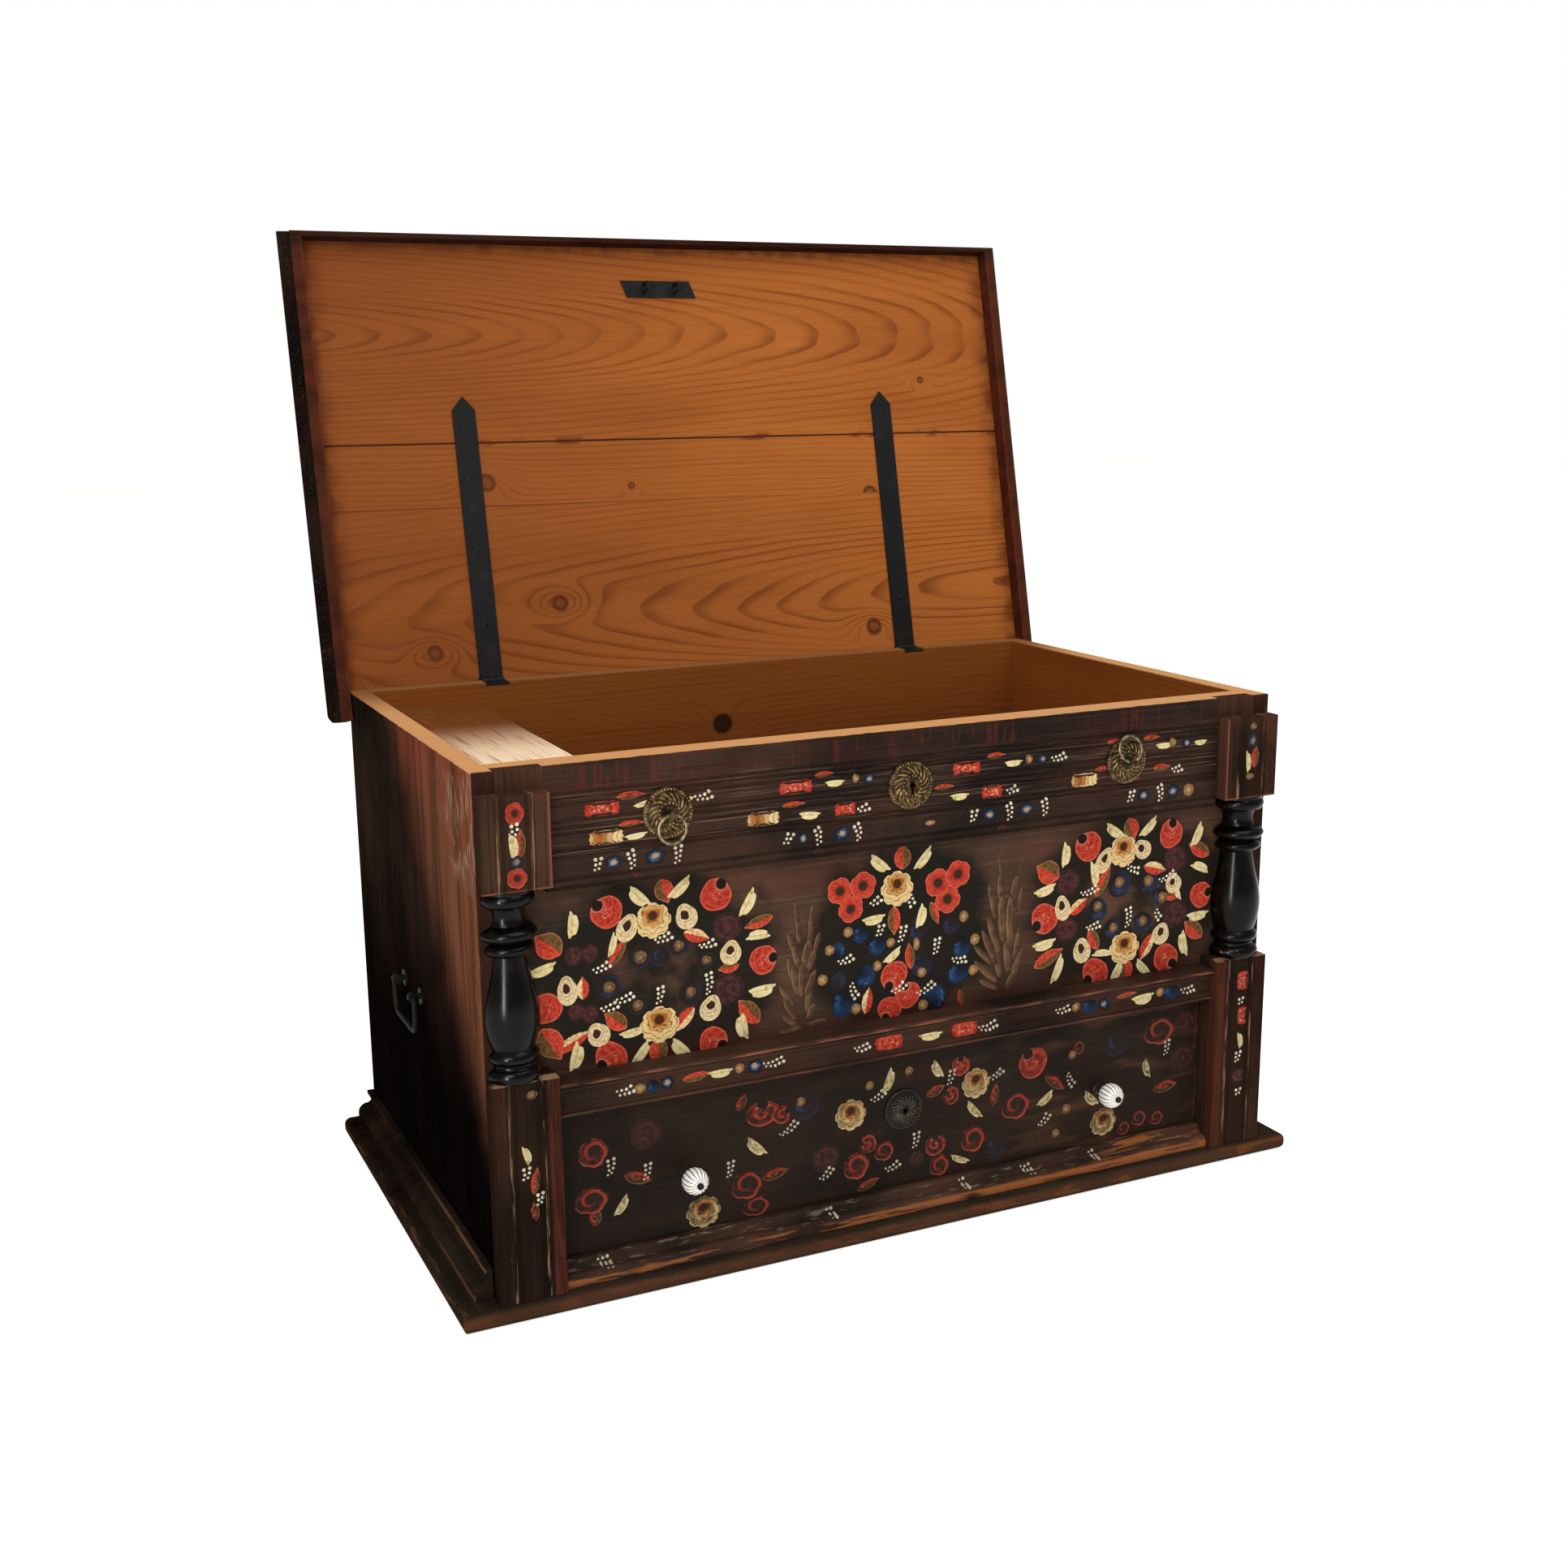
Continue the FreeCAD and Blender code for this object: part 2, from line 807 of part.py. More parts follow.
def keeper_plate():
    half_length = keeper_length / 2
    half = keeper_width / 2
    outline = [
        at(lock_centre - half_length + keeper_slant, bolt_y + half, keeper_low),
        at(lock_centre + half_length, bolt_y + half, keeper_low),
        at(lock_centre + half_length - keeper_slant, bolt_y - half, keeper_low),
        at(lock_centre - half_length, bolt_y - half, keeper_low),
    ]
    body = prism(outline, at(0, 0, keeper_thickness))
    staple_side = staple_side_share * staple_bar
    eye_ys = (staple_ys[0] + staple_side, staple_ys[1] - staple_side)
    for x in staple_xs:
        half_bar = staple_bar / 2
        loop = slab((x - half_bar, x + half_bar) + staple_ys + (staple_low, keeper_low))
        eye = slab((x - staple_bar, x + staple_bar) + eye_ys + (staple_low + staple_bar, keeper_low))
        body = body.fuse(loop.cut(eye))
    return swung(body.removeSplitter().cut(keeper_screw_holes()))


def keeper_screws():
    screws = [
        headed(x, y, keeper_low, screw_length, screw_radius, screw_head_radius, screw_head_height)
        for x, y in keeper_screw_places()
    ]
    return swung(Part.makeCompound(screws))


# The lock's bolt is a bar with a finger for each staple of the keeper
bolt_finger_low = staple_low + staple_bar + bolt_finger_rise
bolt_bar_top = staple_low - bolt_finger_rise
bolt_bar_low = bolt_bar_top - bolt_bar_height
bolt_ys = (bolt_y - bolt_thickness / 2, bolt_y + bolt_thickness / 2)
finger_ends = [x - staple_bar / 2 - lock_slot_clearance for x in staple_xs]
post_starts = [x - bolt_finger_reach - bolt_post_width for x in finger_ends]
bolt_xs = (post_starts[0], finger_ends[1])


def chest_lock_bolt():
    body = slab(bolt_xs + bolt_ys + (bolt_bar_low, bolt_bar_top))
    finger_top = bolt_finger_low + bolt_finger_height
    for start, end in zip(post_starts, finger_ends):
        post = slab((start, start + bolt_post_width) + bolt_ys + (bolt_bar_low, finger_top))
        finger = slab((start, end) + bolt_ys + (bolt_finger_low, finger_top))
        body = body.fuse([post, finger])
    return body.removeSplitter()


def chest_lock_case():
    top = rim_height - lock_case_drop
    half = lock_case_width / 2
    body = slab(
        (
            lock_centre - half,
            lock_centre + half,
            inner_front_y,
            inner_front_y + lock_case_depth,
            top - lock_case_height,
            top,
        )
    )
    reach = (bolt_xs[0] - bolt_clearance, bolt_xs[1] + bolt_travel + bolt_clearance)
    bar_ys = (bolt_ys[0] - bolt_clearance, bolt_ys[1] + bolt_clearance)
    wide_ys = (staple_ys[0] - lock_slot_clearance, staple_ys[1] + lock_slot_clearance)
    bar_room = slab(reach + bar_ys + (bolt_bar_low - bolt_clearance, top - lock_case_plate))
    staple_room = slab(reach + wide_ys + (bolt_bar_top - bolt_clearance, top - lock_case_plate))
    tools = [bar_room, staple_room, chest_keyhole(inner_front_y - overrun, bolt_y)]
    for x in staple_xs:
        half_slot = staple_bar / 2 + lock_slot_clearance
        slot = (x - half_slot, x + half_slot) + wide_ys
        tools.append(slab(slot + (bolt_bar_top, top + overrun)))
    return body.cut(tools)


def rosette(x, z, seat_y, radius):
    # a low dome with a thin rim, flat behind
    rim_y = seat_y - rosette_rim

    def spot(radius_share, crown_share):
        return at(x + radius_share * radius, rim_y - crown_share * rosette_crown, z)

    dome = ((1, 0), rosette_dome_shares, (0, 1))
    foot = at(x, seat_y, z)
    face = outline_face((dome,), spot, [foot, at(x + radius, seat_y, z)])
    return face.revolve(foot, along_y, 360)


def pull_plate():
    x = -pull_spread / 2
    z = keyhole_height
    tip = ring_axis_out + ring_post_tip
    body = rosette(x, z, face_y, rosette_radius)
    body = body.fuse(rod_y(x, face_y - tip, face_y, z, ring_post_radius)).removeSplitter()
    eye = rod_x(x - rosette_radius, x + rosette_radius, face_y - ring_axis_out, z, ring_eye_radius)
    return body.cut(eye)


def pull_ring():
    # the ring hangs from the eye of its plate
    x = -pull_spread / 2
    centre = at(x, face_y - ring_axis_out, keyhole_height - ring_radius)
    return Part.makeTorus(ring_radius, ring_wire_radius, centre, along_y)


def ring_right():
    ring = mirrored(pull_ring())
    ring.rotate(at(0, face_y - ring_axis_out, keyhole_height), -across_x, ring_up_angle)
    return ring


def chest_escutcheon():
    plate = rosette(0, keyhole_height, face_y, rosette_radius)
    return plate.cut(chest_keyhole(face_y - rosette_radius, face_y + overrun))


def drawer_escutcheon():
    plate = rosette(0, drawer_keyhole_height, drawer_face_y, drawer_rosette_radius)
    return plate.cut(drawer_keyhole(drawer_face_y - rosette_radius, drawer_face_y + overrun))


# Bail handles hang on the sides from two eyes each
bail_axis_x = -half_width - bail_axis_out
bail_eye_ys = (bail_centre - bail_eye_spacing / 2, bail_centre + bail_eye_spacing / 2)


def handle_eye(y):
    half = bail_eye_length / 2
    foot = rod_x(-half_width - bail_eye_foot, -half_width, y, bail_height, bail_eye_foot_radius)
    shank = rod_x(bail_axis_x, -half_width, y, bail_height, bail_shank_radius)
    eye = rod_y(bail_axis_x, y - half, y + half, bail_height, bail_eye_radius)
    bore = rod_y(
        bail_axis_x,
        y - bail_eye_length,
        y + bail_eye_length,
        bail_height,
        bail_pintle_radius + bail_pintle_clearance,
    )
    return foot.fuse([shank, eye]).removeSplitter().cut(bore)


def handle_eyes():
    left = [handle_eye(y) for y in bail_eye_ys]
    return Part.makeCompound(left + [mirrored(eye) for eye in left])


def bail():
    arm_y = bail_eye_spacing / 2 + bail_eye_length / 2 + bail_end_gap + bail_top_bend
    pintle_y = bail_eye_spacing / 2 - bail_eye_length / 2 - bail_end_gap
    start_y = arm_y - bail_top_bend
    low = bail_height - bail_drop

    def spot(y, z):
        return at(bail_axis_x, bail_centre + y, z)

    def bend(side, corner_z, radius, sign):
        # middle point of the quarter turn between an arm and what meets it
        inset = radius * (1 - cos(radians(45)))
        return spot(side * (arm_y - inset), corner_z + sign * inset)

    path = []
    for side in (-1, 1):
        shoulder = spot(side * arm_y, bail_height - bail_top_bend)
        ankle = spot(side * arm_y, low + bail_bottom_bend)
        leg = [
            arc(spot(side * start_y, bail_height), bend(side, bail_height, bail_top_bend, -1), shoulder),
            line(shoulder, ankle),
            arc(ankle, bend(side, low, bail_bottom_bend, 1), spot(side * (arm_y - bail_bottom_bend), low)),
        ]
        path.append(leg)
    bottom = line(spot(-(arm_y - bail_bottom_bend), low), spot(arm_y - bail_bottom_bend, low))
    spine = Part.Wire(path[0] + [bottom] + path[1][::-1])
    ring = Part.Wire(Part.makeCircle(bail_bar_radius, spot(-start_y, bail_height), along_y))
    bar = spine.makePipeShell([ring], True, False)
    pintles = []
    for side in (-1, 1):
        ends = sorted((bail_centre + side * start_y, bail_centre + side * pintle_y))
        pintles.append(rod_y(bail_axis_x, ends[0], ends[1], bail_height, bail_pintle_radius))
    return bar.fuse(pintles).removeSplitter()


# Drawer parts
tail_length = drawer_side_thickness


def drawer_tails(grow):
    # dovetails on the front end of the left side
    low = drawer_low
    height = drawer_high - drawer_side_drop - low
    pitch = height / tail_count
    x0 = -drawer_half_width - grow
    tails = []
    for number in range(tail_count):
        middle = low + (number + 1 / 2) * pitch
        root = tail_root_share * pitch
        end = tail_end_share * pitch
        outline = [
            at(x0, drawer_inner_y + grow, middle - root),
            at(x0, drawer_inner_y - tail_length, middle - end),
            at(x0, drawer_inner_y - tail_length, middle + end),
            at(x0, drawer_inner_y + grow, middle + root),
        ]
        tails.append(prism(outline, at(drawer_side_thickness + grow, 0, 0)))
    return tails


def drawer_bottom_limits():
    x = drawer_half_width - drawer_side_thickness + drawer_groove_depth
    low = drawer_low + drawer_bottom_rise
    return (-x, x, drawer_inner_y - drawer_groove_depth, drawer_rear_y, low, low + drawer_bottom_thickness)


def knob_places():
    return [(-knob_spread / 2, knob_height), (knob_spread / 2, knob_height)]


def drawer_lock_limits():
    y0 = drawer_inner_y - drawer_lock_let_in
    half = drawer_lock_width / 2
    return (-half, half, y0, y0 + drawer_lock_thickness, drawer_high - drawer_lock_height, drawer_high)


def drawer_front():
    board = slab(
        (-drawer_half_width, drawer_half_width, drawer_face_y, drawer_inner_y, drawer_low, drawer_high)
    )
    tails = drawer_tails(0)
    tools = tails + [mirrored(tail) for tail in tails]
    tools += [housing(drawer_bottom_limits()), slab(drawer_lock_limits())]
    tools.append(drawer_keyhole(drawer_face_y - overrun, drawer_inner_y))
    for x, z in knob_places():
        radius = knob_bolt_radius + nail_clearance
        tools.append(rod_y(x, drawer_face_y - overrun, drawer_inner_y + overrun, z, radius))
    return board.cut(tools)


def drawer_side():
    x0 = -drawer_half_width
    x1 = x0 + drawer_side_thickness
    board = slab((x0, x1, drawer_inner_y, drawer_rear_y, drawer_low, drawer_high - drawer_side_drop))
    board = board.fuse(drawer_tails(0)).removeSplitter()
    return board.cut(housing(drawer_bottom_limits()))


def drawer_back():
    x = drawer_half_width - drawer_side_thickness
    low = drawer_low + drawer_bottom_rise + drawer_bottom_thickness + housing_clearance
    top = drawer_high - drawer_back_drop
    return slab((-x, x, drawer_rear_y - drawer_back_thickness, drawer_rear_y, low, top))


def drawer_lip_moulding():
    def spot(out_share, height_share):
        y = drawer_face_y - out_share * lip_reach
        return at(-drawer_half_width, y, drawer_low + height_share * lip_height)

    face = outline_face(lip_shares, spot, [spot(0, 1), spot(0, 0)])
    return face.extrude(at(2 * drawer_half_width, 0, 0))


def knob():
    x, z = knob_places()[0]

    def spot(radius_share, length_share):
        return at(x + radius_share * knob_radius, drawer_face_y - length_share * knob_length, z)

    face = outline_face(knob_shares, spot, [spot(0, 1), spot(0, 0)], swell)
    body = face.revolve(spot(0, 0), along_y, 360)
    tip = drawer_face_y - knob_length
    bore = rod_y(x, tip - overrun, drawer_face_y + overrun, z, knob_bolt_radius + nail_clearance)
    return body.cut(bore)


def knob_bolts():
    bolts = []
    for x, z in knob_places():
        tip = drawer_face_y - knob_length
        shank = rod_y(x, tip, drawer_inner_y + knob_nut_height, z, knob_bolt_radius)
        head = rod_y(x, tip - knob_bolt_head_height, tip, z, knob_bolt_head_radius)
        nut = rod_y(x, drawer_inner_y, drawer_inner_y + knob_nut_height, z, knob_nut_radius)
        bolts.append(shank.fuse([head, nut]).removeSplitter())
    return Part.makeCompound(bolts)


def drawer_lock_case():
    body = slab(drawer_lock_limits())
    x0, x1, y0, y1, z0, z1 = grown(drawer_bolt_limits(), bolt_clearance)
    slot = slab((x0, x1, y0, y1, z0, drawer_high + overrun))
    front_y = drawer_inner_y - drawer_lock_let_in
    return body.cut([slot, drawer_keyhole(front_y - overrun, front_y + drawer_lock_wall)])


os.makedirs("parts", exist_ok=True)

write("base_board", base_board())
write("side_panel_left", side_panel())
write("side_panel_right", side_panel_right())
write("back_panel", back_panel())
write("front_board", front_board())
write("chest_floor", slab(chest_floor_limits))
write_pair("corner_stile", corner_stile())
write("frieze_board", frieze_board())
write_pair("upper_block", fluted_post(block_projection, block_bottom, block_top))
write_pair("column", column())
write_pair("pedestal", fluted_post(pedestal_projection, base_thickness, pedestal_top))
write("waist_moulding", waist_moulding())
write_pair("side_moulding", side_moulding())
write_pair("drawer_guide", drawer_guide())
write("till_wall", slab(till_wall_limits))
write("till_floor", slab(till_floor_limits))
write("till_lid", till_lid())

write("lid_board_front", lid_board(lid_front_y, lid_place_y(lid_front_joint) - lid_joint_gap))
write("lid_board_middle", lid_board(lid_place_y(lid_front_joint), lid_place_y(lid_rear_joint)))
write("lid_board_rear", lid_board(lid_place_y(lid_rear_joint), lid_rear_y))
write("lid_moulding_front", lid_moulding_front())
write_pair("lid_moulding", lid_moulding_left())
write("hinge_strap_left", hinge_strap(hinge_xs()[0]))
write("hinge_strap_right", hinge_strap(hinge_xs()[1]))
write("strap_nails", strap_nails())
write("hinge_leaf_left", hinge_leaf(hinge_xs()[0]))
write("hinge_leaf_right", hinge_leaf(hinge_xs()[1]))
write("hinge_leaf_nails", hinge_leaf_nails())
write("hinge_pins", hinge_pins())

write("keeper_plate", keeper_plate())
write("keeper_screws", keeper_screws())
write("chest_lock_case", chest_lock_case())
write("chest_lock_bolt", chest_lock_bolt())
write("chest_escutcheon", chest_escutcheon())
write_pair("pull_plate", pull_plate())
write("ring_left", pull_ring())
write("ring_right", ring_right())
write("handle_eyes", handle_eyes())
write_pair("bail", bail())

write("drawer_front", drawer_front())
write_pair("drawer_side", drawer_side())
write("drawer_back", drawer_back())
write("drawer_bottom", slab(drawer_bottom_limits()))
write("drawer_lip_moulding", drawer_lip_moulding())
write_pair("knob", knob())
write("knob_bolts", knob_bolts())
write("drawer_escutcheon", drawer_escutcheon())
write("drawer_lock_case", drawer_lock_case())
write("drawer_lock_bolt", slab(drawer_bolt_limits()))
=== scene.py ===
import json
import math
import random
from functools import partialmethod
import bpy
from mathutils import Matrix, Vector

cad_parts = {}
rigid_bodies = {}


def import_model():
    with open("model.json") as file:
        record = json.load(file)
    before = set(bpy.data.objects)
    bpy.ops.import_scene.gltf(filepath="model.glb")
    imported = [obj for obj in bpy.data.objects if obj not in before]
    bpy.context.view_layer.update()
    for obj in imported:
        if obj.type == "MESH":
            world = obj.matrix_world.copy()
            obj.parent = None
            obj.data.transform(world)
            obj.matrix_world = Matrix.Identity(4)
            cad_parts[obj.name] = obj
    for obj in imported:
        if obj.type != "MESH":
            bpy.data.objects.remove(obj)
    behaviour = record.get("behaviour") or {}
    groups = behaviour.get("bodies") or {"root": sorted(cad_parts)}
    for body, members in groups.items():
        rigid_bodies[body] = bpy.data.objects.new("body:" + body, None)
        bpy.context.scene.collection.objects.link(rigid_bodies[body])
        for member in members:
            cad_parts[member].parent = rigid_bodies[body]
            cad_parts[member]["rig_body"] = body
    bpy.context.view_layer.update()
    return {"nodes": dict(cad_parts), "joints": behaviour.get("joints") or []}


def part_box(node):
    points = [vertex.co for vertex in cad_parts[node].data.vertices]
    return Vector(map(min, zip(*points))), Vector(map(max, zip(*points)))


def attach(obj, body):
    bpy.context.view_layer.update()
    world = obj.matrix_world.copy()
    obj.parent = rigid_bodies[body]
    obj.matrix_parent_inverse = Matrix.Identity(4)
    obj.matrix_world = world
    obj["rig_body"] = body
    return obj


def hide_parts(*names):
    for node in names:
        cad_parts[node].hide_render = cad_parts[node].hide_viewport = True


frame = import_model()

# Painted mule chest: a dark chest over a drawer, the lid open, folk flowers on the front.
# Metres in Blender; the tables of the painting are in millimetres, X to the right and Z up on the front.
mm = 0.001
nodes = frame["nodes"]
random.seed(7)
print("frame loaded:", len(nodes), "nodes")


def tint(red, green, blue):  # a colour as seen on screen, 0 to 255, made linear
    shares = [value / 255 for value in (red, green, blue)]
    return tuple(s / 12.92 if s < 0.04 else ((s + 0.055) / 1.055) ** 2.4 for s in shares) + (1.0,)


# Shader maths
class Strand:  # one socket of a material's tree, which can stand in a sum
    def __init__(self, tree, socket):
        self.tree = tree
        self.socket = socket

    def node(self, kind, settings=None, sockets=None, output=0):
        made = self.tree.nodes.new(kind)
        for key, value in (settings or {}).items():
            setattr(made, key, value)
        for key, value in (sockets or {}).items():
            if isinstance(value, Strand):
                self.tree.links.new(value.socket, made.inputs[key])
            else:
                made.inputs[key].default_value = value
        return Strand(self.tree, made.outputs[output])

    def maths(self, operation, second=0.0):
        return self.node("ShaderNodeMath", {"operation": operation}, {0: self, 1: second})

    __add__ = __radd__ = partialmethod(maths, "ADD")
    __mul__ = __rmul__ = partialmethod(maths, "MULTIPLY")
    __sub__ = partialmethod(maths, "SUBTRACT")
    __truediv__ = partialmethod(maths, "DIVIDE")
    __pow__ = partialmethod(maths, "POWER")
    __abs__ = partialmethod(maths, "ABSOLUTE")
    most = partialmethod(maths, "MAXIMUM")

    def __rsub__(self, other):
        return self.node("ShaderNodeMath", {"operation": "SUBTRACT"}, {0: other, 1: self})

    def rise(self, low, high):  # 0 below low, 1 above high, soft between
        settings = {"interpolation_type": "SMOOTHSTEP"}
        return self.node("ShaderNodeMapRange", settings, {0: self, 1: low, 2: high})

    def fall(self, low, high):  # 1 below low, 0 above high
        return 1 - self.rise(low, high)

    def band(self, low, high, soft):  # 1 between low and high
        return self.rise(low - soft, low + soft) * self.fall(high - soft, high + soft)

    def part(self, axis):
        return self.node("ShaderNodeSeparateXYZ", None, {0: self}, "xyz".index(axis))

    def axes(self):
        return [self.part(axis) for axis in "xyz"]

    def attribute(self, name):
        return self.node("ShaderNodeAttribute", {"attribute_name": name}, None, 2)

    def noise(self, size, detail):
        return self.node("ShaderNodeTexNoise", None, {"Vector": self, "Scale": 1 / size, "Detail": detail})

    def streaks(self, along, length, width, detail):  # noise drawn out along one axis
        scale = [1 / width] * 3
        scale["xyz".index(along)] = 1 / length
        return self.node("ShaderNodeMapping", None, {"Vector": self, "Scale": scale}).noise(1, detail)

    def blend(self, first, second):  # two colours, each a strand or a screen colour, by this factor
        low, high = (tone if isinstance(tone, Strand) else tint(*tone) for tone in (first, second))
        return self.node("ShaderNodeMix", {"data_type": "RGBA"}, {0: self, 6: low, 7: high}, 2)

    def mottle(self, size, first, second, low=0.35, high=0.65):
        return self.noise(size, 3).rise(low, high).blend(first, second)


# A layer is a dictionary of strands for the sockets named here, and of a relief and its depth
linked = {"colour": "Base Color", "roughness": "Roughness", "metal": "Metallic", "normal": "Normal"}


def mixed(name, layerOf, fixed, *details):  # a material from a function that makes the layer at a spot
    material = bpy.data.materials.new(name)
    material.use_nodes = True
    tree = material.node_tree
    shader = tree.nodes["Principled BSDF"]
    for key, value in fixed.items():
        shader.inputs[key].default_value = value
    spot = Strand(tree, tree.nodes.new("ShaderNodeTexCoord").outputs["Object"])
    layer = layerOf(spot, *details)
    if "relief" in layer:
        height = {"Height": layer["relief"], "Distance": layer.get("depth", 0.3 * mm), "Strength": 1.0}
        layer["normal"] = spot.node("ShaderNodeBump", None, height)
    for key, socket in linked.items():
        if key in layer:
            tree.links.new(layer[key].socket, shader.inputs[socket])
    return material


def overlay(layer, mask, colour):
    layer["colour"] = mask.blend(layer["colour"], colour)
    return layer


def mixLayers(mask, first, second):
    layer = {"colour": mask.blend(first["colour"], second["colour"])}
    for key in ("roughness", "relief"):
        layer[key] = first[key] + (second[key] - first[key]) * mask
    return layer


def away(a, b, atA=0.0, atB=0.0):
    da = a - atA
    db = b - atB
    return (da * da + db * db) ** 0.5


def sheen(specular, metal=0.0):
    return {"Specular IOR Level": specular, "Metallic": metal}


dry = sheen(0.05)  # old paint and bare wood hardly shine
dead = sheen(0.0)  # and the sides, seen aslant, not at all

# Old paint on wood: colours, sizes of noise, and length, width and detail of the streaks
paintLook = {
    "ground": (36, 26, 20),
    "brown": (76, 52, 39),
    "pale": (102, 76, 60),
    "maroon": (84, 38, 31),
    "fleck": (160, 138, 118),
    "bare": (168, 104, 56),
    "black": (17, 13, 11),
    "patch": 0.17,
    "fleckSize": 0.0021,
    "fleckField": 0.05,
    "streak": (0.26, 0.0035, 3),
    "hair": (0.09, 0.0011, 1),
    "stain": (0.2, 0.05, 3),
}


def paintLayer(spot, along, maroon, pale, dark=False):
    look = paintLook
    streak, hair, stain = (spot.streaks(along, *look[key]) for key in ("streak", "hair", "stain"))
    low, high = ("black", "ground") if dark else ("ground", "brown")
    paint = {"colour": spot.noise(look["patch"], 4).rise(0.36, 0.66).blend(look[low], look[high]),
             "roughness": 0.4 + streak * 0.3, "relief": streak * 0.7 + hair * 0.5}
    overlay(paint, stain.rise(0.48, 0.7) * maroon, look["maroon"])
    overlay(paint, streak.rise(0.52, 0.72) * hair.rise(0.3, 0.7) * pale, look["pale"])
    overlay(paint, hair.rise(0.56, 0.7) * 0.55, look["black"])
    field = spot.noise(look["fleckField"], 2).rise(0.5, 0.62)
    fleck = spot.noise(look["fleckSize"], 1).rise(0.73, 0.77) * field
    return overlay(paint, fleck * 0.6, look["fleck"])


# Bare pine: colours, rings to a metre, how far they stray, how far knots push them, and streaks as above
pineLook = {
    "pale": (164, 94, 40),
    "deep": (104, 50, 18),
    "red": (80, 34, 20),
    "knot": (34, 16, 7),
    "rings": 125,
    "wander": 0.05,
    "waver": 0.0035,
    "push": 0.03,
    "flow": (1.1, 0.14, 1.5),
    "arch": (0.8, 6, 1),
    "ripple": (0.12, 0.03, 2),
    "fade": (0.5, 0.03, 2),
    "hair": (0.14, 0.0012, 2),
    "tone": (0.5, 0.12, 2),
}


def pineLayer(spot, along, across, contrast, knots=(), heart=0.0, trunk=(0.06, 0.0, 0.17)):
    look = pineLook
    flow, arch, ripple, fade, hair, tone = (
        spot.streaks(along, *look[key]) for key in ("flow", "arch", "ripple", "fade", "hair", "tone"))
    u = spot.part(along)
    v = spot.part(across)
    depth, lean, swing = trunk  # how far under the face the heart of the trunk runs, and how it leans
    under = depth + lean * u + swing * (arch - 0.5)
    field = away(v, under, heart) + flow * look["wander"] + ripple * look["waver"]
    knotMark = 0.0
    for knotU, knotV, radius in knots:
        du = (u - knotU) / radius
        dv = (v - knotV) / radius
        far = du * du * 0.12 + dv * dv * 0.35
        field = field + (far * -1).maths("EXPONENT") * look["push"]
        near = du * du + dv * dv
        mark = near.fall(0.5, 1.3) * (0.55 + 0.45 * near.rise(0.05, 0.6))
        knotMark = mark.most(knotMark)
    ring = (field * look["rings"]).maths("FRACT")
    late = ring.rise(0.52, 0.93) * ring.fall(0.95, 1.0) * (0.4 + 0.6 * fade.rise(0.36, 0.62))
    late = late * (1 - abs(v - heart).rise(0.04, 0.14) * 0.4)
    pine = {"colour": (late * contrast).blend(look["pale"], look["deep"]),
            "roughness": 0.5 + hair * 0.2, "relief": hair * 0.6 - late * 0.3}
    overlay(pine, hair.rise(0.4, 0.75) * 0.3, look["deep"])
    overlay(pine, tone.rise(0.42, 0.75) * 0.35, look["deep"])
    if knots:
        overlay(pine, knotMark * (0.6 + 0.4 * hair), look["knot"])
    return pine


# Places on the chest that the finishes follow, read from the frame
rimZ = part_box("side_panel_left")[1].z
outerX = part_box("side_panel_right")[1].x
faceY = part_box("frieze_board")[0].y
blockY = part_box("upper_block_left")[0].y
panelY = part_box("front_board")[0].y
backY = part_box("back_panel")[1].y
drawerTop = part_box("drawer_front")[1].z
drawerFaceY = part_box("drawer_front")[0].y
lidJoint = next(joint for joint in frame["joints"] if joint["name"] == "lid_hinge")
lidOpen = math.radians(lidJoint["range_deg"][1])
lidAxis = Vector(lidJoint["pos_m"])
skin = 0.8 * mm  # how deep a finish reaches under its face


def foreFace(y, face):  # 1 in the skin of a face that looks forward
    return y.fall(face + skin, face + 2 * skin)


def farFace(axis, face):  # 1 in the skin of a face that looks outward or to the rear
    return axis.rise(face - 2 * skin, face - skin)


# The top edge of the chest, rubbed bare behind the front's painted strip and darker towards the rear
rimLook = {
    "top": (rimZ - 0.9 * mm, rimZ - 0.2 * mm),
    "strip": (faceY + 6 * mm, faceY + 9 * mm),
    "rear": (0.1, backY - 20 * mm),
}


def honeyRim(layer, spot):
    y = spot.part("y")
    ragged = spot.noise(0.012, 3)
    edge = (spot.part("z") + ragged * 2.4 * mm).rise(*rimLook["top"])
    edge = edge * (y + ragged * 8 * mm).rise(*rimLook["strip"])
    bare = pineLayer(spot, "x", "y", 0.5)
    overlay(bare, edge * 0.5, (230, 180, 124))
    overlay(bare, y.rise(*rimLook["rear"]) * 0.8, (104, 58, 30))
    return mixLayers(edge, layer, bare)


# Where each mark on the sides fades in or out, in metres, as in the looks that follow
sideLook = {
    "lit": (-0.29, -0.1),  # rearward, along an edge that leans
    "lean": 0.8,
    "leanFrom": 0.32,
    "litFoot": (0.02, 0.4),
    # painted shade, below and behind the lit zone
    "soot": (0.2, 0.5),
    "corner": (-0.3, -0.24),
    "cornerFoot": (0.2, 0.4),
    "red": (0.54, 0.65),
    "scuffs": (0.54, 0.62),
    "scuffRear": (-0.26, -0.1),
    "inside": (0.36, 0.64),
}


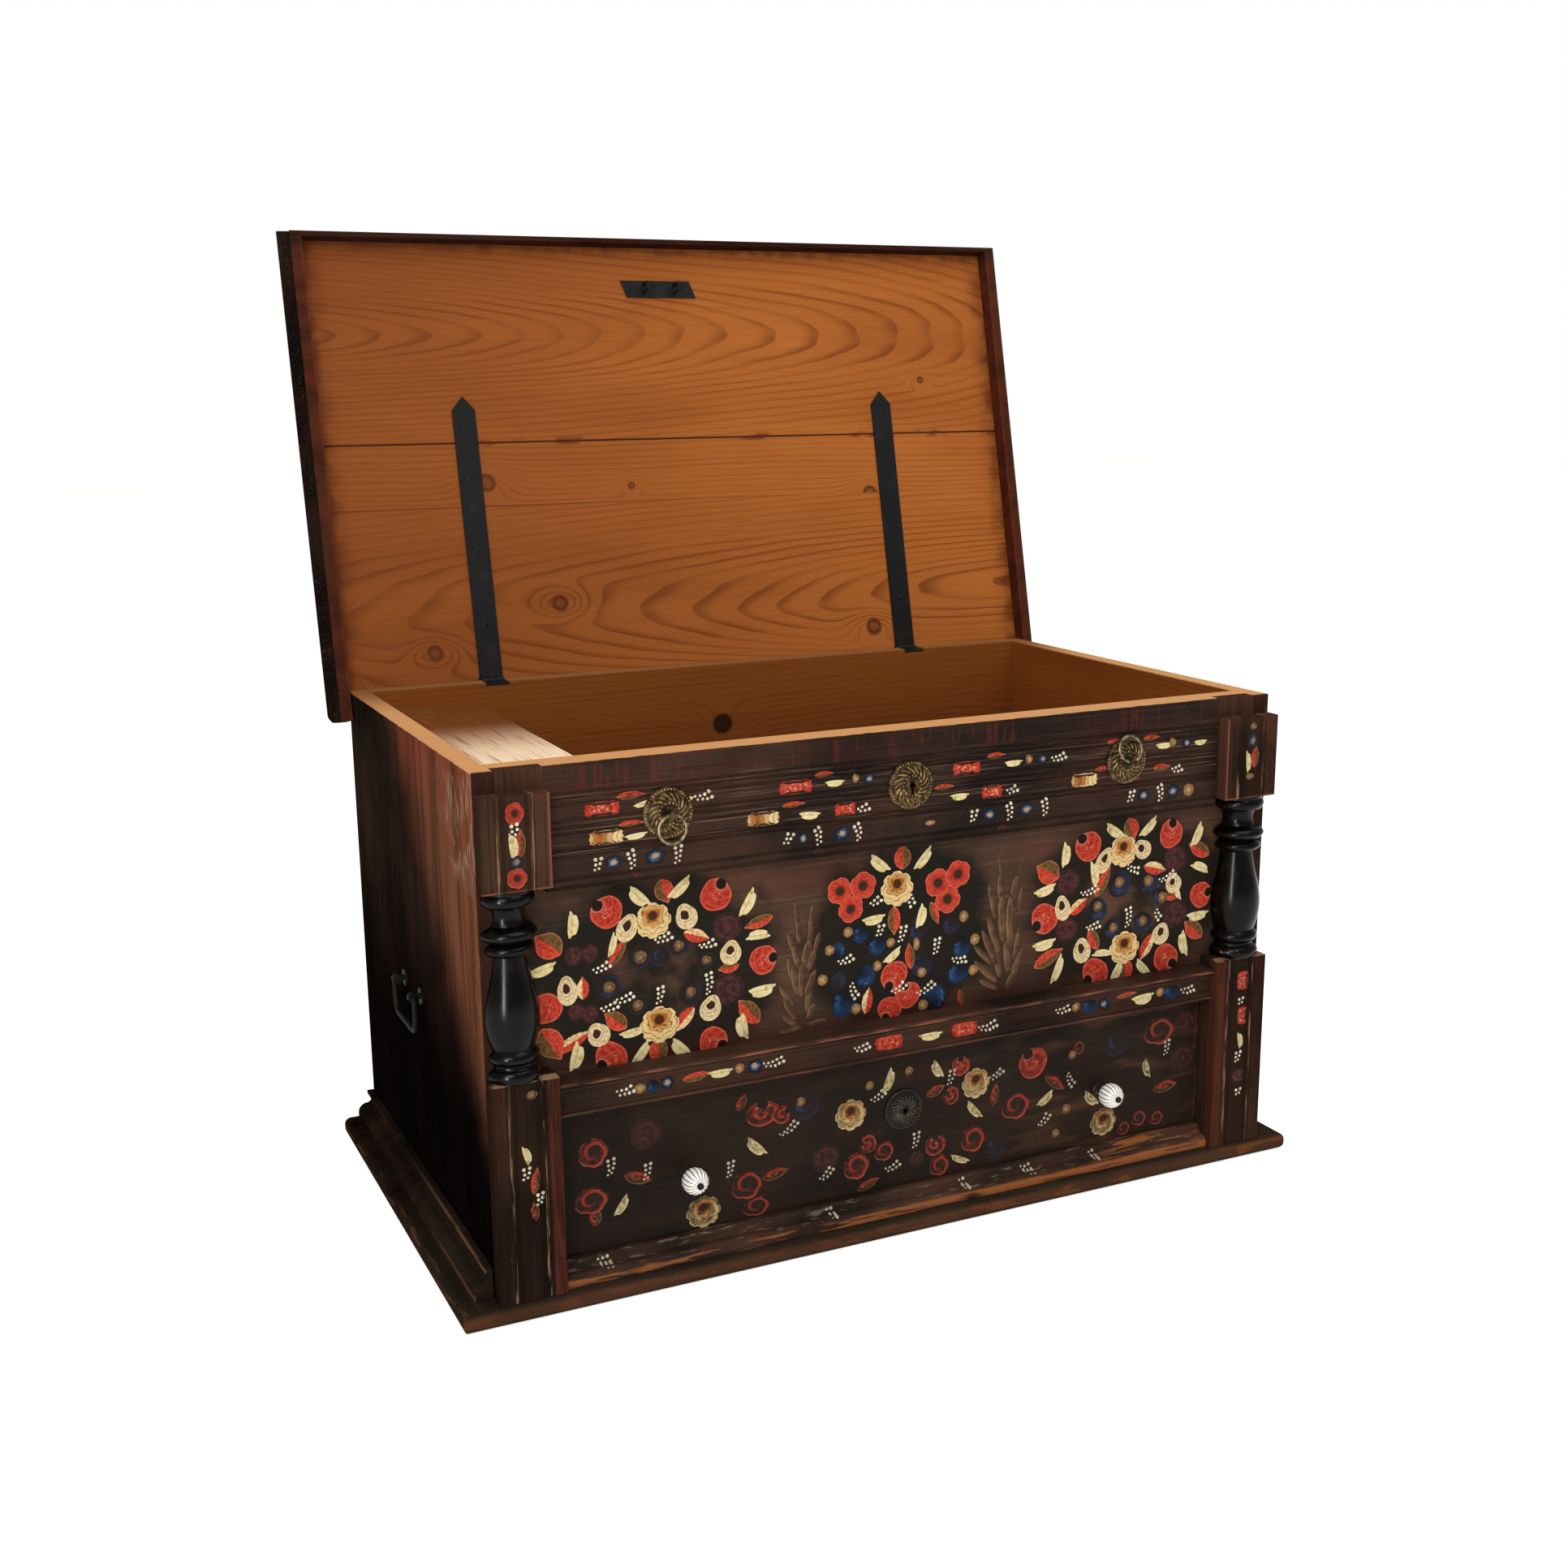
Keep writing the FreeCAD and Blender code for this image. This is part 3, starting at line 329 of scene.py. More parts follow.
def sideBoard(spot):
    look = sideLook
    x, y, z = spot.axes()
    paint = paintLayer(spot, "z", 0.15, 0.25, dark=True)
    # Painted light: a lit zone towards the front, bounded by a leaning edge; outside it the board is
    # darkened towards the foot as painted shade
    lit = (y - look["lean"] * (z - look["leanFrom"]) + spot.noise(0.06, 3) * 0.06).fall(*look["lit"])
    streak = 0.45 + 0.55 * spot.streaks("z", 0.3, 0.02, 3).rise(0.3, 0.6)
    front = lit * z.rise(*look["litFoot"]) * streak
    overlay(paint, front * 0.92, (112, 68, 48))
    overlay(paint, (1 - lit) * z.fall(*look["soot"]) * 0.88, (4, 3, 3))
    rubbed = spot.streaks("z", 0.02, 0.003, 4).rise(0.56, 0.66) * y.fall(*look["corner"])
    overlay(paint, rubbed * z.rise(*look["cornerFoot"]) * 0.5, (150, 104, 76))
    # red streaks high up, only in the painted-lit front zone
    red = front * z.rise(*look["red"]) * spot.streaks("z", 0.08, 0.02, 3).rise(0.42, 0.62)
    overlay(paint, red * 0.6, (126, 46, 34))
    scuff = spot.streaks("z", 0.03, 0.005, 4).rise(0.44, 0.62) * spot.noise(0.03, 4).rise(0.4, 0.62)
    high = (z + spot.noise(0.08, 3) * 0.12).rise(*look["scuffs"])
    overlay(paint, scuff * high * y.fall(*look["scuffRear"]) * 0.6, (158, 132, 112))
    fore = foreFace(y, faceY)
    overlay(paint, fore * 0.85, (27, 20, 17))
    pine = pineLayer(spot, "y", "z", 0.5)
    # painted shade: the inside darker towards the floor of the chest
    overlay(pine, 0.25 + 0.6 * z.fall(*look["inside"]), (88, 44, 22))
    outside = farFace(abs(x), outerX).most(fore).most(farFace(y, backY))
    return honeyRim(mixLayers(outside, pine, paint), spot)


backKnots = ((0.008, 0.563, 0.017), (0.31, 0.44, 0.012), (-0.2, 0.36, 0.014))  # x, z and radius


def backBoard(spot):
    x, y, z = spot.axes()
    pine = pineLayer(spot, "x", "z", 0.5, backKnots, 0.5)
    # painted shade: the inside of the back darker towards the floor of the chest
    overlay(pine, 0.5 + 0.4 * z.fall(0.4, 0.66), (74, 37, 17))
    knotX, knotZ, radius = backKnots[0]
    far = away(x, z, knotX, knotZ) / radius
    overlay(pine, far.fall(0.7, 1.0) * 0.8, (26, 17, 16))
    paint = paintLayer(spot, "x", 0.1, 0.35, dark=True)
    return honeyRim(mixLayers(farFace(y, backY), pine, paint), spot)


# Dark glaze under the wreaths and the bouquet: centre and radii in millimetres, and the share left open
glaze = {
    "places": ((-330, 386, 172, 128, 0.16), (-2, 384, 142, 132, 0), (340, 386, 168, 128, 0.16)),
    "colour": (22, 20, 14),
    "edge": (0.62, 1.12),
    "inner": 0.3,
}
footLook = {"red": (0.284, 0.31), "dark": (0.29, 0.36)}  # of the front panel


def frontBoard(spot):
    x, y, z = spot.axes()
    paint = paintLayer(spot, "x", 0.4, 0.75)
    overlay(paint, 0.1 + 0.14 * spot.streaks("x", 0.12, 0.02, 3), (104, 78, 60))
    ragged = spot.noise(0.045, 3) - 0.5
    for centreX, centreZ, reachX, reachZ, hollow in glaze["places"]:
        dx = (x - centreX * mm) / (reachX * mm)
        dz = (z - centreZ * mm) / (reachZ * mm)
        far = dx * dx + dz * dz + ragged * 0.9
        inside = far.fall(*glaze["edge"]) * far.rise(hollow - glaze["inner"], hollow)
        overlay(paint, inside * 0.93, glaze["colour"])
    overlay(paint, z.fall(*footLook["red"]) * 0.3, paintLook["maroon"])
    overlay(paint, z.fall(*footLook["dark"]) * 0.3, paintLook["black"])
    pine = pineLayer(spot, "x", "z", 0.5)
    return honeyRim(mixLayers(foreFace(y, panelY), pine, paint), spot)


# A third number is how soft a band's edges are
friezeLook = {"dashes": (0.624, 0.652, 0.004), "lines": (0.55, 0.62, 0.01), "rubs": (0.545, 0.625, 0.01)}


def friezeBoard(spot):
    z = spot.part("z")
    paint = paintLayer(spot, "x", 0.35, 0.35)
    overlay(paint, 0.38 + 0.2 * spot.noise(0.1, 2), paintLook["black"])
    dash = spot.streaks("z", 0.05, 0.006, 2).rise(0.5, 0.66) * z.band(*friezeLook["dashes"])
    overlay(paint, dash * spot.streaks("z", 0.4, 0.12, 2).rise(0.36, 0.6) * 0.28, (108, 38, 30))
    line = spot.streaks("x", 0.25, 0.0012, 2).rise(0.55, 0.66) * z.band(*friezeLook["lines"])
    overlay(paint, line * 0.5, (26, 18, 16))
    rubbed = spot.streaks("x", 0.12, 0.0011, 2).rise(0.6, 0.68) * z.band(*friezeLook["rubs"])
    overlay(paint, rubbed * 0.5, (132, 102, 80))
    return honeyRim(paint, spot)


postLook = {
    "margin": (0.4815, 0.4835),
    "line": (0.4705, 0.4715),
    "lineFoot": (0.5215, 0.5225),
    "strip": (0.492, 0.526, 0.001),
    "inner": (0.487, 0.491, 0.0008),
    "outer": (0.5275, 0.5305, 0.0008),
    "ledge": (0.2935, 0.2945, 0.0003),
}


def postPaint(spot):
    x, y, z = spot.axes()
    x = abs(x)
    paint = paintLayer(spot, "z", 0.3, 0.4)
    proud = y.fall(faceY - 4 * mm, faceY - 2 * mm)  # blocks and pedestals, not the stile behind them
    margin = x.fall(*postLook["margin"]) * proud
    streak = spot.streaks("z", 0.06, 0.004, 3).rise(0.36, 0.62)
    overlay(paint, margin * z.fall(0.3, 0.5) * (0.2 + 0.7 * streak), (108, 52, 38))
    line = x.fall(*postLook["line"]).most(z.fall(*postLook["lineFoot"])) * z.rise(0.5, 0.51) * proud
    overlay(paint, line * (0.3 + 0.7 * foreFace(y, blockY)) * 0.7, (140, 80, 66))
    overlay(paint, x.band(*postLook["strip"]) * proud * 0.5, paintLook["ground"])
    overlay(paint, x.rise(outerX - skin, outerX) * 0.6, (44, 27, 22))
    overlay(paint, 0.15 + z.fall(0.2, 0.62) * 0.4, paintLook["black"])
    worn = spot.streaks("z", 0.05, 0.003, 3).rise(0.5, 0.62)
    ridge = x.band(*postLook["inner"]).most(x.band(*postLook["outer"]))
    overlay(paint, ridge * worn * proud * 0.7, (150, 116, 92))
    ledge = z.band(*postLook["ledge"]) * spot.noise(0.02, 3).rise(0.4, 0.55)
    return overlay(paint, ledge * proud * 0.7, (150, 118, 88))


waistLook = {"top": (0.277, 0.2805, 0.0008), "foot": (0.2405, 0.243, 0.0008)}


def waistPaint(spot):
    z = spot.part("z")
    paint = paintLayer(spot, "x", 0.35, 0.4)
    overlay(paint, 0.34 + 0.2 * spot.noise(0.1, 2), paintLook["black"])
    worn = spot.streaks("x", 0.06, 0.004, 3).rise(0.46, 0.62)
    edge = z.band(*waistLook["top"]).most(z.band(*waistLook["foot"]) * 0.35)
    return overlay(paint, edge * worn * 0.65, (140, 84, 54))


plinthLook = {
    "front": (-0.324, -0.316),
    "frontToe": (0.006, 0.02, 0.003),
    "side": (0.585, 0.592),
    "sideToe": (0.012, 0.026, 0.003),
    "cap": (0.5575, 0.5615, 0.0008),
    "capTop": (0.0565, 0.058),
    "foot": (0.5718, 0.576, 0.0006),
    "footTop": (0.0245, 0.031, 0.001),
}


def plinthPaint(spot):
    x, y, z = spot.axes()
    paint = paintLayer(spot, "x", 0.12, 0.35, dark=True)
    worn = spot.streaks("x", 0.05, 0.012, 4).rise(0.5, 0.62)
    front = y.fall(*plinthLook["front"]) * z.band(*plinthLook["frontToe"])
    right = 0.35 + 0.65 * x.rise(-0.2, 0.5)
    overlay(paint, front * (0.3 + 0.3 * spot.streaks("x", 0.2, 0.006, 3)), (86, 58, 40))
    overlay(paint, front * worn * right * 0.5, (112, 62, 32))
    ahead = y.fall(-0.22, 0.1)  # painted light: the front part lighter, the rear half of the sides left dark as painted shade
    overlay(paint, ahead * (1 - front) * 0.3, (58, 50, 38))
    x = abs(x)
    sideWear = spot.streaks("y", 0.06, 0.006, 4)
    side = x.rise(*plinthLook["side"]) * z.band(*plinthLook["sideToe"])
    overlay(paint, side * sideWear.rise(0.56, 0.66) * 0.5, (104, 64, 42))
    # pale worn edges on the side mouldings, shown only in the painted-lit front part
    cap = x.band(*plinthLook["cap"]) * z.rise(*plinthLook["capTop"])
    foot = x.band(*plinthLook["foot"]) * z.band(*plinthLook["footTop"])
    return overlay(paint, cap.most(foot) * ahead * sideWear.rise(0.36, 0.52) * 0.6, (118, 80, 56))


lipLook = {"patch": (0.3, 0.45, 0.05), "foot": (0.033, 0.037), "bead": (0.036, 0.04)}


def lipPaint(spot):
    x = spot.part("x")
    z = spot.part("z")
    paint = paintLayer(spot, "x", 0.2, 0.35)
    overlay(paint, 0.15 + 0.2 * spot.noise(0.1, 2), paintLook["black"])
    worn = spot.streaks("x", 0.07, 0.006, 4)
    right = worn.rise(0.5, 0.57) * x.band(*lipLook["patch"])
    low = (worn + 0.1 * x.rise(-0.3, 0.3)).rise(0.46, 0.58) * z.fall(*lipLook["foot"])
    overlay(paint, right.most(low) * 0.75, (140, 82, 42))
    remains = spot.streaks("x", 0.03, 0.006, 3).rise(0.58, 0.66) * z.rise(*lipLook["bead"])
    return overlay(paint, remains * 0.4, (130, 112, 92))


drawerLook = {"rub": (0, 0.4), "ends": (0.455, 0.47), "grime": (drawerTop - 4 * mm, drawerTop - 2 * mm)}


def drawerPaint(spot):
    x, y, z = spot.axes()
    paint = paintLayer(spot, "x", 0.25, 0.4)
    overlay(paint, 0.72 + 0.24 * spot.noise(0.09, 3), (21, 16, 11))
    # lighter rubbed streaks, more towards the right: wear, and painted light with the left side left darker
    rub = spot.streaks("x", 0.1, 0.02, 4).rise(0.5, 0.7)
    overlay(paint, rub * (0.05 + 0.33 * x.rise(*drawerLook["rub"])), (96, 60, 39))
    bright = abs(x).rise(*drawerLook["ends"]) * spot.streaks("z", 0.05, 0.004, 2).rise(0.45, 0.6)
    overlay(paint, bright * 0.35, (120, 52, 40))
    # painted shadow: a dark strip along the drawer's top, under the waist moulding
    grime = (z + spot.noise(0.03, 2) * 2 * mm).rise(*drawerLook["grime"])  # under the waist
    overlay(paint, grime * 0.85, (9, 7, 6))
    pine = pineLayer(spot, "x", "z", 0.6)
    return mixLayers(foreFace(y, drawerFaceY), pine, paint)


# The lid's boards stand open in the frame, so the finish is turned back shut. For each board:
# its knots, where its heart lies across it, and its trunk's depth, lean and swing
lidBoards = {
    "front": (((0.42, -0.1, 0.006),), -0.172, (0.085, 0.105, 0.05)),
    "middle": (((-0.318, 0.044, 0.014), (0.308, 0.08, 0.013), (-0.095, 0.055, 0.006)),
               -0.16, (0.06, 0.02, 0.05)),
    "rear": (((-0.226, 0.225, 0.013), (-0.42, 0.286, 0.012), (0.291, 0.293, 0.014)),
             0.232, (0.085, -0.09, 0.09)),
}
lidLook = {
    "gap": -0.0145,
    "seam": 0.0785,
    "sides": (0.515, 0.548),
    "fore": (-0.3, -0.282),
    "gapDark": (0.0008, 0.0022),
    "gapDirt": (0.002, 0.009),
    "seamDark": (0.0004, 0.0016),
    "seamSeen": (-0.25, 0.1),
    "shade": (-0.6, 0.3),
    "foreShade": (-0.32, -0.1),
    "mouldingSides": (0.5535, 0.5545),
    "mouldingFore": (-0.305, -0.3045),
    "mouldingFoot": (0.632, 0.634),
}


def shutLid(spot):
    turn = Matrix.Rotation(lidOpen, 4, "X")
    sockets = {"Vector": spot, "Rotation": (lidOpen, 0, 0), "Location": lidAxis - turn @ lidAxis}
    return spot.node("ShaderNodeMapping", None, sockets)


def lidBoard(place, name):
    look = lidLook
    spot = shutLid(place)
    x, y, z = spot.axes()
    pine = pineLayer(spot, "x", "y", 0.72, *lidBoards[name])
    overlay(pine, x.fall(*look["shade"]) * 0.55 + y.fall(*look["foreShade"]) * 0.18, (92, 44, 17))
    margin = abs(x).rise(*look["sides"]).most(y.fall(*look["fore"]))
    overlay(pine, margin * spot.noise(0.03, 3).rise(0.3, 0.7) * 0.6, pineLook["red"])
    gap = abs(y - look["gap"])
    dirt = spot.streaks("x", 0.05, 0.02, 3).rise(0.52, 0.66)
    overlay(pine, gap.fall(*look["gapDark"]) * 0.85, pineLook["knot"])
    overlay(pine, gap.fall(*look["gapDirt"]) * dirt * 0.7, pineLook["red"])
    seen = x.fall(*look["seamSeen"]) * 0.5 + 0.12
    overlay(pine, abs(y - look["seam"]).fall(*look["seamDark"]) * seen, pineLook["red"])
    paint = paintLayer(spot, "x", 0.15, 0.3, dark=True)
    return mixLayers(z.rise(rimZ + 2 * mm, rimZ + 3 * mm), pine, paint)


def lidMoulding(place):
    spot = shutLid(place)
    x, y, z = spot.axes()
    paint = paintLayer(spot, "x", 0.1, 0.25, dark=True)
    inner = abs(x).fall(*lidLook["mouldingSides"]) * y.rise(*lidLook["mouldingFore"])
    worn = 0.5 + 0.4 * spot.noise(0.03, 3).rise(0.35, 0.65)
    sides = 0.3 + 0.7 * y.rise(-0.3, -0.28)
    return overlay(paint, inner.most(z.fall(*lidLook["mouldingFoot"]) * 0.6) * worn * sides, (92, 44, 28))


def plainPine(spot, along, across, shade, heart=0.0):
    pine = pineLayer(spot, along, across, 0.7, heart=heart)
    return overlay(pine, 0.1 + 0.35 * spot.noise(0.2, 3), shade)


tillLook = {"sun": (-0.12, 0.16), "top": (0.6235, 0.6245)}  # daylight on the front half of its lid


def tillBoard(spot):
    pine = pineLayer(spot, "y", "x", 0.3)
    sun = spot.part("y").fall(*tillLook["sun"]) * spot.part("z").rise(*tillLook["top"])
    overlay(pine, 0.75 - sun * 0.75, (80, 41, 19))
    overlay(pine, sun * 0.9, (248, 222, 188))
    return overlay(pine, spot.streaks("y", 0.12, 0.0035, 3).rise(0.52, 0.66) * 0.6, (116, 76, 46))


def blackLacquer(spot):
    dull = spot.noise(0.02, 4)
    chip = spot.noise(0.011, 3).rise(0.66, 0.7) * spot.part("z").fall(0.3, 0.32)
    layer = {"colour": (chip * 0.85).blend((7, 5, 4), paintLook["bare"]), "roughness": 0.12 + dull * 0.22,
             "relief": dull * 0.5, "depth": 0.1 * mm}
    return overlay(layer, dull.rise(0.55, 0.7) * 0.3, (26, 21, 18))


def forgedIron(spot, clean):
    pit = spot.noise(0.004, 4)
    rust = spot.noise(0.03, 3).rise(0.55, 0.72)
    return {"colour": (rust * 0.4).blend(clean, (40, 30, 24)), "roughness": 0.5 + pit * 0.25, "relief": pit}


def antiqueBrass(spot, low, high):
    grime = spot.noise(0.006, 4)
    return {"colour": grime.rise(0.36, 0.62).blend(low, high), "roughness": 0.3 + grime * 0.3,
            "metal": 0.95 - grime.rise(0.5, 0.8) * 0.3, "relief": grime, "depth": 0.15 * mm}


def darkPlate(spot, low, high):
    grime = spot.noise(0.005, 4)
    return {"colour": grime.rise(0.45, 0.7).blend(low, high), "roughness": 0.38 + grime * 0.25,
            "relief": grime, "depth": 0.2 * mm}


def porcelain(spot):
    stain = spot.noise(0.006, 3).rise(0.45, 0.7)
    colour = (stain * 0.3).blend((236, 232, 224), (200, 190, 174))
    layer = {"colour": colour, "roughness": 0.12 + stain * 0.12}
    # dark flutes, and painted shade on the neck
    return overlay(layer, spot.attribute("grooveAndShade").rise(0.4, 0.85), (36, 28, 25))


finishes = {
    "sideBoard": mixed("sideBoardPaint", sideBoard, dead),
    "backBoard": mixed("backBoardWood", backBoard, dead),
    "frontBoard": mixed("frontPanelPaint", frontBoard, dry),
    "frieze": mixed("friezePaint", friezeBoard, dry),
    "post": mixed("postPaint", postPaint, dead),
    "waist": mixed("waistPaint", waistPaint, dry),
    "plinth": mixed("plinthPaint", plinthPaint, dead),
    "lip": mixed("drawerLipPaint", lipPaint, dry),
    "drawer": mixed("drawerPaint", drawerPaint, dry),
    "lidFront": mixed("frontLidBoard", lidBoard, dry, "front"),
    "lidMiddle": mixed("middleLidBoard", lidBoard, dry, "middle"),
    "lidRear": mixed("rearLidBoard", lidBoard, dry, "rear"),
    "lidMoulding": mixed("lidMouldingPaint", lidMoulding, dead),
    "floorPine": mixed("chestFloorPine", plainPine, dry, "x", "y", (84, 44, 22)),
    "drawerPine": mixed("drawerPine", plainPine, dry, "y", "z", (112, 74, 44), 0.13),
    "tillPine": mixed("tillPine", plainPine, dry, "y", "z", (110, 62, 30)),
    "tillLid": mixed("tillLidPine", tillBoard, dry),
    "lacquer": mixed("columnLacquer", blackLacquer, sheen(0.11)),
    "iron": mixed("forgedIron", forgedIron, sheen(0.2, 0.2), (13, 13, 13)),
    # painted shade: a darker copy of the iron for the side handles, which hang in shade
    "shadedIron": mixed("shadedIron", forgedIron, sheen(0.12, 0.2), (8, 8, 8)),
    "brass": mixed("antiqueBrass", antiqueBrass, {}, (40, 30, 18), (84, 66, 42)),
    "ringBrass": mixed("ringBrass", antiqueBrass, {}, (86, 74, 54), (142, 126, 98)),
    "gilt": mixed("rubbedBrass", antiqueBrass, {}, (98, 78, 46), (168, 142, 92)),
    "plate": mixed("paintedPlate", darkPlate, sheen(0.18, 0.2), (13, 11, 9), (27, 22, 18)),
    "rubbedPlate": mixed("rubbedPlate", darkPlate, sheen(0.18, 0.2), (62, 53, 42), (106, 92, 72)),
    "porcelain": mixed("knobPorcelain", porcelain, {"Coat Weight": 0.5, "Coat Roughness": 0.05}),
}
print("finishes mixed:", len(finishes))


# Every node with its finish, and how far its edges are eased by years of use, in millimetres.
# A name that ends in _ stands for the left and the right piece
dressing = {
    "side_panel_": ("sideBoard", 1.5), "back_panel": ("backBoard", 1.0), "front_board": ("frontBoard", 1.0),
    "frieze_board": ("frieze", 0.7), "corner_stile_": ("post", 0.5), "upper_block_": ("post", 0.7),
    "pedestal_": ("post", 0.7), "waist_moulding": ("waist", 0.5), "base_board": ("plinth", 0.4),
    "side_moulding_": ("plinth", 0.7), "drawer_lip_moulding": ("lip", 0.7), "drawer_front": ("drawer", 1.0),
    "drawer_side_": ("drawerPine", 0.5), "drawer_back": ("drawerPine", 0.6),
    "drawer_bottom": ("floorPine", 0.4), "drawer_guide_": ("drawerPine", 0.6),
    "lid_board_front": ("lidFront", 0.4), "lid_board_middle": ("lidMiddle", 0.4),
    "lid_board_rear": ("lidRear", 0.4), "lid_moulding_front": ("lidMoulding", 0.8),
    "lid_moulding_": ("lidMoulding", 0.8), "chest_floor": ("floorPine", 0.4),
    "till_floor": ("tillPine", 0.4), "till_wall": ("tillPine", 0.6), "till_lid": ("tillLid", 1.0),
    "column_": ("lacquer", 0),
    "hinge_strap_": ("iron", 0.4), "strap_nails": ("iron", 0), "keeper_plate": ("iron", 0.4),
    "keeper_screws": ("iron", 0), "hinge_leaf_": ("iron", 0.3), "hinge_leaf_nails": ("iron", 0),
    "hinge_pins": ("iron", 0), "chest_lock_case": ("iron", 0.6), "chest_lock_bolt": ("iron", 0.4),
    "handle_eyes": ("shadedIron", 0), "bail_": ("shadedIron", 0), "drawer_lock_case": ("iron", 0.5),
    "drawer_lock_bolt": ("iron", 0.4), "knob_bolts": ("iron", 0), "pull_plate_": ("brass", 0),
    "chest_escutcheon": ("brass", 0), "ring_": ("ringBrass", 0), "drawer_escutcheon": ("plate", 0),
}
easeLook = {
    "weld": 0.01 * mm,
    "flat": math.radians(0.3),
    "corner": math.radians(40),
    "smooth": math.radians(35),
}


def soleSelection(piece):
    bpy.ops.object.select_all(action="DESELECT")
    piece.select_set(True)
    bpy.context.view_layer.objects.active = piece


def applied(piece, kind, **settings):
    soleSelection(piece)
    modifier = piece.modifiers.new(kind.title(), kind)
    for key, value in settings.items():
        setattr(modifier, key, value)
    bpy.ops.object.modifier_apply(modifier=modifier.name)


def settled():  # what is selected, with its place, turn and scale moved into its mesh
    bpy.ops.object.transform_apply(location=True, rotation=True, scale=True)
    return bpy.context.object


def camel(name):
    first, *others = name.split("_")
    return first + "".join(word.title() for word in others)


def copyOf(model, name):  # a copy with its own mesh
    piece = bpy.data.objects.new(name, model.data.copy())
    bpy.context.scene.collection.objects.link(piece)
    return piece


def easedCopy(nodeName, finish, width):
    piece = copyOf(nodes[nodeName], camel(nodeName))
    soleSelection(piece)
    bpy.ops.mesh.customdata_custom_splitnormals_clear()
    bpy.ops.object.mode_set(mode="EDIT")
    bpy.ops.mesh.select_all(action="SELECT")
    bpy.ops.mesh.remove_doubles(threshold=easeLook["weld"])
    bpy.ops.mesh.dissolve_limited(angle_limit=easeLook["flat"])
    bpy.ops.object.mode_set(mode="OBJECT")
    if width:
        applied(piece, "BEVEL", width=width * mm, segments=2, limit_method="ANGLE",
                angle_limit=easeLook["corner"], use_clamp_overlap=True)
    soleSelection(piece)
    bpy.ops.object.shade_smooth_by_angle(angle=easeLook["smooth"])
    if width:
        applied(piece, "WEIGHTED_NORMAL", keep_sharp=True, weight=100)
    piece.data.materials.clear()
    piece.data.materials.append(finishes[finish])
    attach(piece, nodes[nodeName]["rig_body"])
    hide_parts(nodeName)


for stem, (finish, width) in dressing.items():
    for side in ("left", "right") if stem.endswith("_") else ("",):
        easedCopy(stem + side, finish, width)
print("boards and ironwork dressed")


# A loose tongue in the lid's open joint, its place and size in millimetres as the lid lies shut
tongueLook = {"place": (0, -14.75, 666.3), "size": (1094, 6, 7)}


def makeTongue():
    bpy.ops.object.select_all(action="DESELECT")
    place = Vector(tongueLook["place"]) * mm
    bpy.ops.mesh.primitive_cube_add(size=mm, location=place, scale=tongueLook["size"])
    tongue = settled()
    tongue.name = "lidTongue"
    swing = Matrix.Rotation(-lidOpen, 4, "X")
    tongue.matrix_world = Matrix.Translation(lidAxis) @ swing @ Matrix.Translation(-lidAxis)
    settled()
    tongue.data.materials.append(finishes["floorPine"])
    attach(tongue, "lid")


makeTongue()
print("lid's joint filled")


# Porcelain knobs, ribbed like melons: radius and reach of each ring from the drawer's face, in millimetres
knobLook = {
    "ribs": 16,
    "profile": ((10.4, 0), (10.4, 2), (8.6, 3.6), (7.4, 8), (7.4, 12), (8.6, 16), (13.2, 19),
                (16.0, 24.5), (16.8, 30), (15.8, 36.5), (12.4, 41.5), (7.8, 45), (4.8, 45.9)),
    "fluteFrom": 15,
    "neckTo": 13,  # the neck is dark, like the grooves
    "fluteCosine": 0.9,
    "cut": 0.88,
}


def pick(piece, test):
    bpy.ops.object.mode_set(mode="OBJECT")
    for face in piece.data.polygons:
        face.select = False
    for edge in piece.data.edges:
        edge.select = False
    for point in piece.data.vertices:
        point.select = test(point.co)
    bpy.ops.object.mode_set(mode="EDIT")


def disc(sides, radius, fill, turn=(math.pi / 2, 0, 0)):
    bpy.ops.object.select_all(action="DESELECT")
    bpy.ops.mesh.primitive_circle_add(vertices=sides, radius=radius, fill_type=fill, rotation=turn)
    bpy.ops.object.transform_apply(location=False, rotation=True, scale=False)
    bpy.ops.object.mode_set(mode="EDIT")
    bpy.ops.mesh.select_mode(type="VERT")
    bpy.ops.mesh.select_all(action="SELECT")
    return bpy.context.object


def drawnRings(shift, share, centre):  # the picked face drawn out one ring further
    bpy.ops.mesh.extrude_region_move(TRANSFORM_OT_translate={"value": shift})
    bpy.ops.transform.resize(value=share, center_override=centre)


def closedUp(piece):
    bpy.ops.mesh.select_all(action="SELECT")
    bpy.ops.mesh.normals_make_consistent(inside=False)
    bpy.ops.object.mode_set(mode="OBJECT")
    soleSelection(piece)
    bpy.ops.object.shade_smooth()


def inFlute(point):
    angle = math.atan2(point.z, point.x)
    deep = math.cos(knobLook["ribs"] * angle) > knobLook["fluteCosine"]
    return deep and -point.y > knobLook["fluteFrom"] * mm


